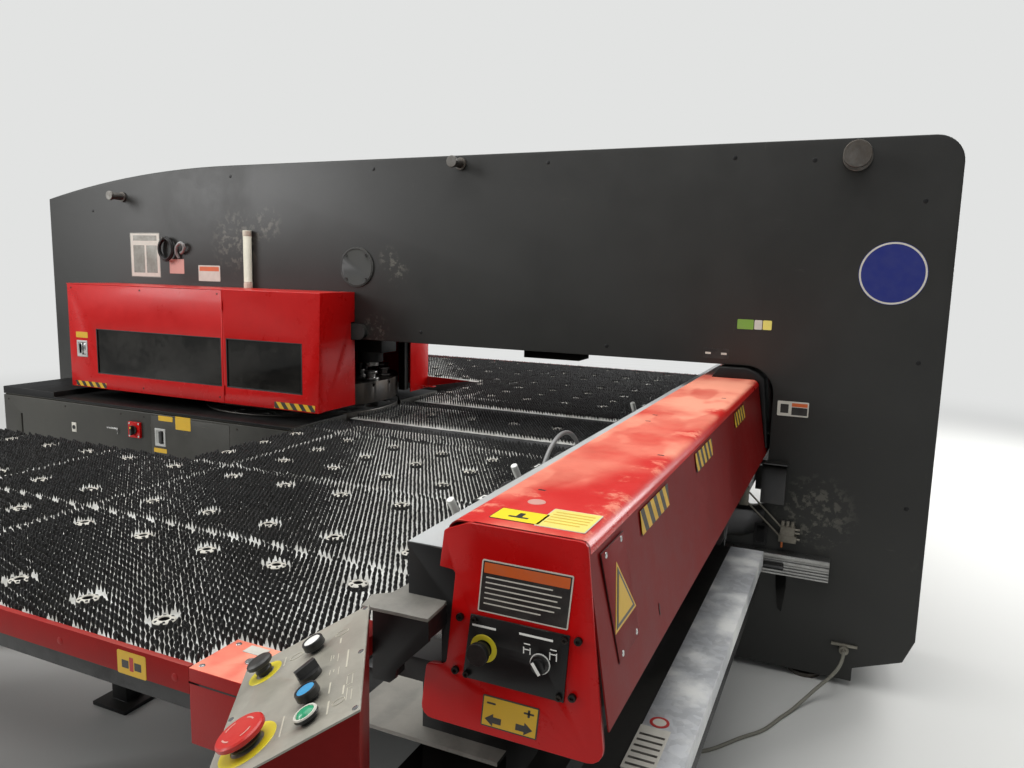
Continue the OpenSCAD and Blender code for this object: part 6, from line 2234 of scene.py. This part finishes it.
@dataclass
class Studio:
    """Pale floor, soft light and the camera at the photograph's angle."""

    eye: tuple[float, float, float] = (2.565, -3.7271, 1.7387)
    heading: float = 24.071
    dip: float = 8.222
    roll: float = 1.380
    lens: float = 27.175
    floor_half: float = 60.0
    fade: tuple[float, float] = (3.5, 11.0)
    backdrop: Colour = display(226, 227, 226)
    floor_colour: Colour = display(206, 206, 202)
    sky_colour: Colour = display(214, 216, 218)
    glow: float = 0.5

    def build(self) -> None:
        """Builds the studio."""
        self.floor()
        self.sky()
        self.lamps()
        self.camera()

    def floor(self) -> None:
        """Plain pale floor."""
        part = bmesh.new()
        bmesh.ops.create_grid(part, x_segments=1, y_segments=1, size=self.floor_half)
        mesh = bpy.data.meshes.new("floor")
        part.to_mesh(mesh)
        part.free()
        material, graph, shader = open_material("floor")
        graph.fill(shader, {"Base Color": self.floor_colour, "Roughness": 0.7})
        away = graph.add("ShaderNodeVectorMath", {0: graph.place()}, operation="LENGTH").outputs["Value"]
        far = graph.remap(away, self.fade[0], self.fade[1])
        seen = graph.add("ShaderNodeLightPath").outputs["Is Camera Ray"]
        glow = graph.add("ShaderNodeEmission", {"Color": self.backdrop, "Strength": 1.0})
        share = graph.math("MULTIPLY", far, seen)
        both = graph.add("ShaderNodeMixShader", {0: share, 1: shader.outputs["BSDF"], 2: glow.outputs[0]})
        output = next(n for n in material.node_tree.nodes if n.bl_idname == "ShaderNodeOutputMaterial")
        graph.feed(output.inputs["Surface"], both.outputs[0])
        mesh.materials.append(material)
        item = show("floor", mesh)

    def sky(self) -> None:
        """Even soft light from all round, with a pale background."""
        world = bpy.data.worlds.new("studio")
        bpy.context.scene.world = world
        world.use_nodes = True
        world.node_tree.nodes.clear()
        graph = Graph(world.node_tree)
        seen = graph.add("ShaderNodeLightPath").outputs["Is Camera Ray"]
        glow = graph.add("ShaderNodeBackground", {"Color": self.sky_colour, "Strength": self.glow})
        back = graph.add("ShaderNodeBackground", {"Color": self.backdrop, "Strength": 1.0})
        both = graph.add("ShaderNodeMixShader", {0: seen, 1: glow.outputs[0], 2: back.outputs[0]})
        graph.add("ShaderNodeOutputWorld", {"Surface": both.outputs[0]})

    def lamps(self) -> None:
        """Large soft panels overhead and at the left."""
        for name, at, aim, size, watts in (
            ("overhead", (0.5, -1.0, 6.5), (0.5, -0.5, 0), 7.0, 440),
            ("left_panel", (-6.5, -5.5, 4.5), (-1.2, -0.3, 1.5), 4.0, 400),
            ("far_panel", (5.0, 5.5, 3.5), (0.2, 0.6, 1.0), 4.0, 420),
        ):
            light = bpy.data.lights.new(name, "AREA")
            light.shape = "SQUARE"
            light.size = size
            light.energy = watts
            item = show(name, light)
            item.location = at
            item.rotation_euler = (Vector(aim) - Vector(at)).to_track_quat("-Z", "Y").to_euler()

    def camera(self) -> None:
        """Camera where the photographer stood."""
        data = bpy.data.cameras.new("camera")
        data.lens = self.lens
        data.sensor_width = 36.0
        data.clip_end = 200.0
        item = show("camera", data)
        turns = (Matrix.Rotation(math.radians(self.heading), 4, "Z")
                 @ Matrix.Rotation(math.radians(90 - self.dip), 4, "X")
                 @ Matrix.Rotation(math.radians(self.roll), 4, "Z"))
        item.matrix_world = Matrix.Translation(self.eye) @ turns
        bpy.context.scene.camera = item


def main() -> None:
    """Builds the studio and every sub-assembly."""
    logging.basicConfig(level=logging.INFO, format="%(message)s")
    bpy.context.scene.view_settings.view_transform = "Standard"
    Studio().build()
    assemblies = (Services(), BridgeFrame(), TurretGuard(), Cabinets(), Turret(), BrushTables(), Carriage(),
                  Controls(), Clamps())
    for assembly in assemblies:
        LOG.info("building %s", type(assembly).__name__)
        assembly.build()
    bpy.context.view_layer.update()


if __name__ == "__main__":
    main()
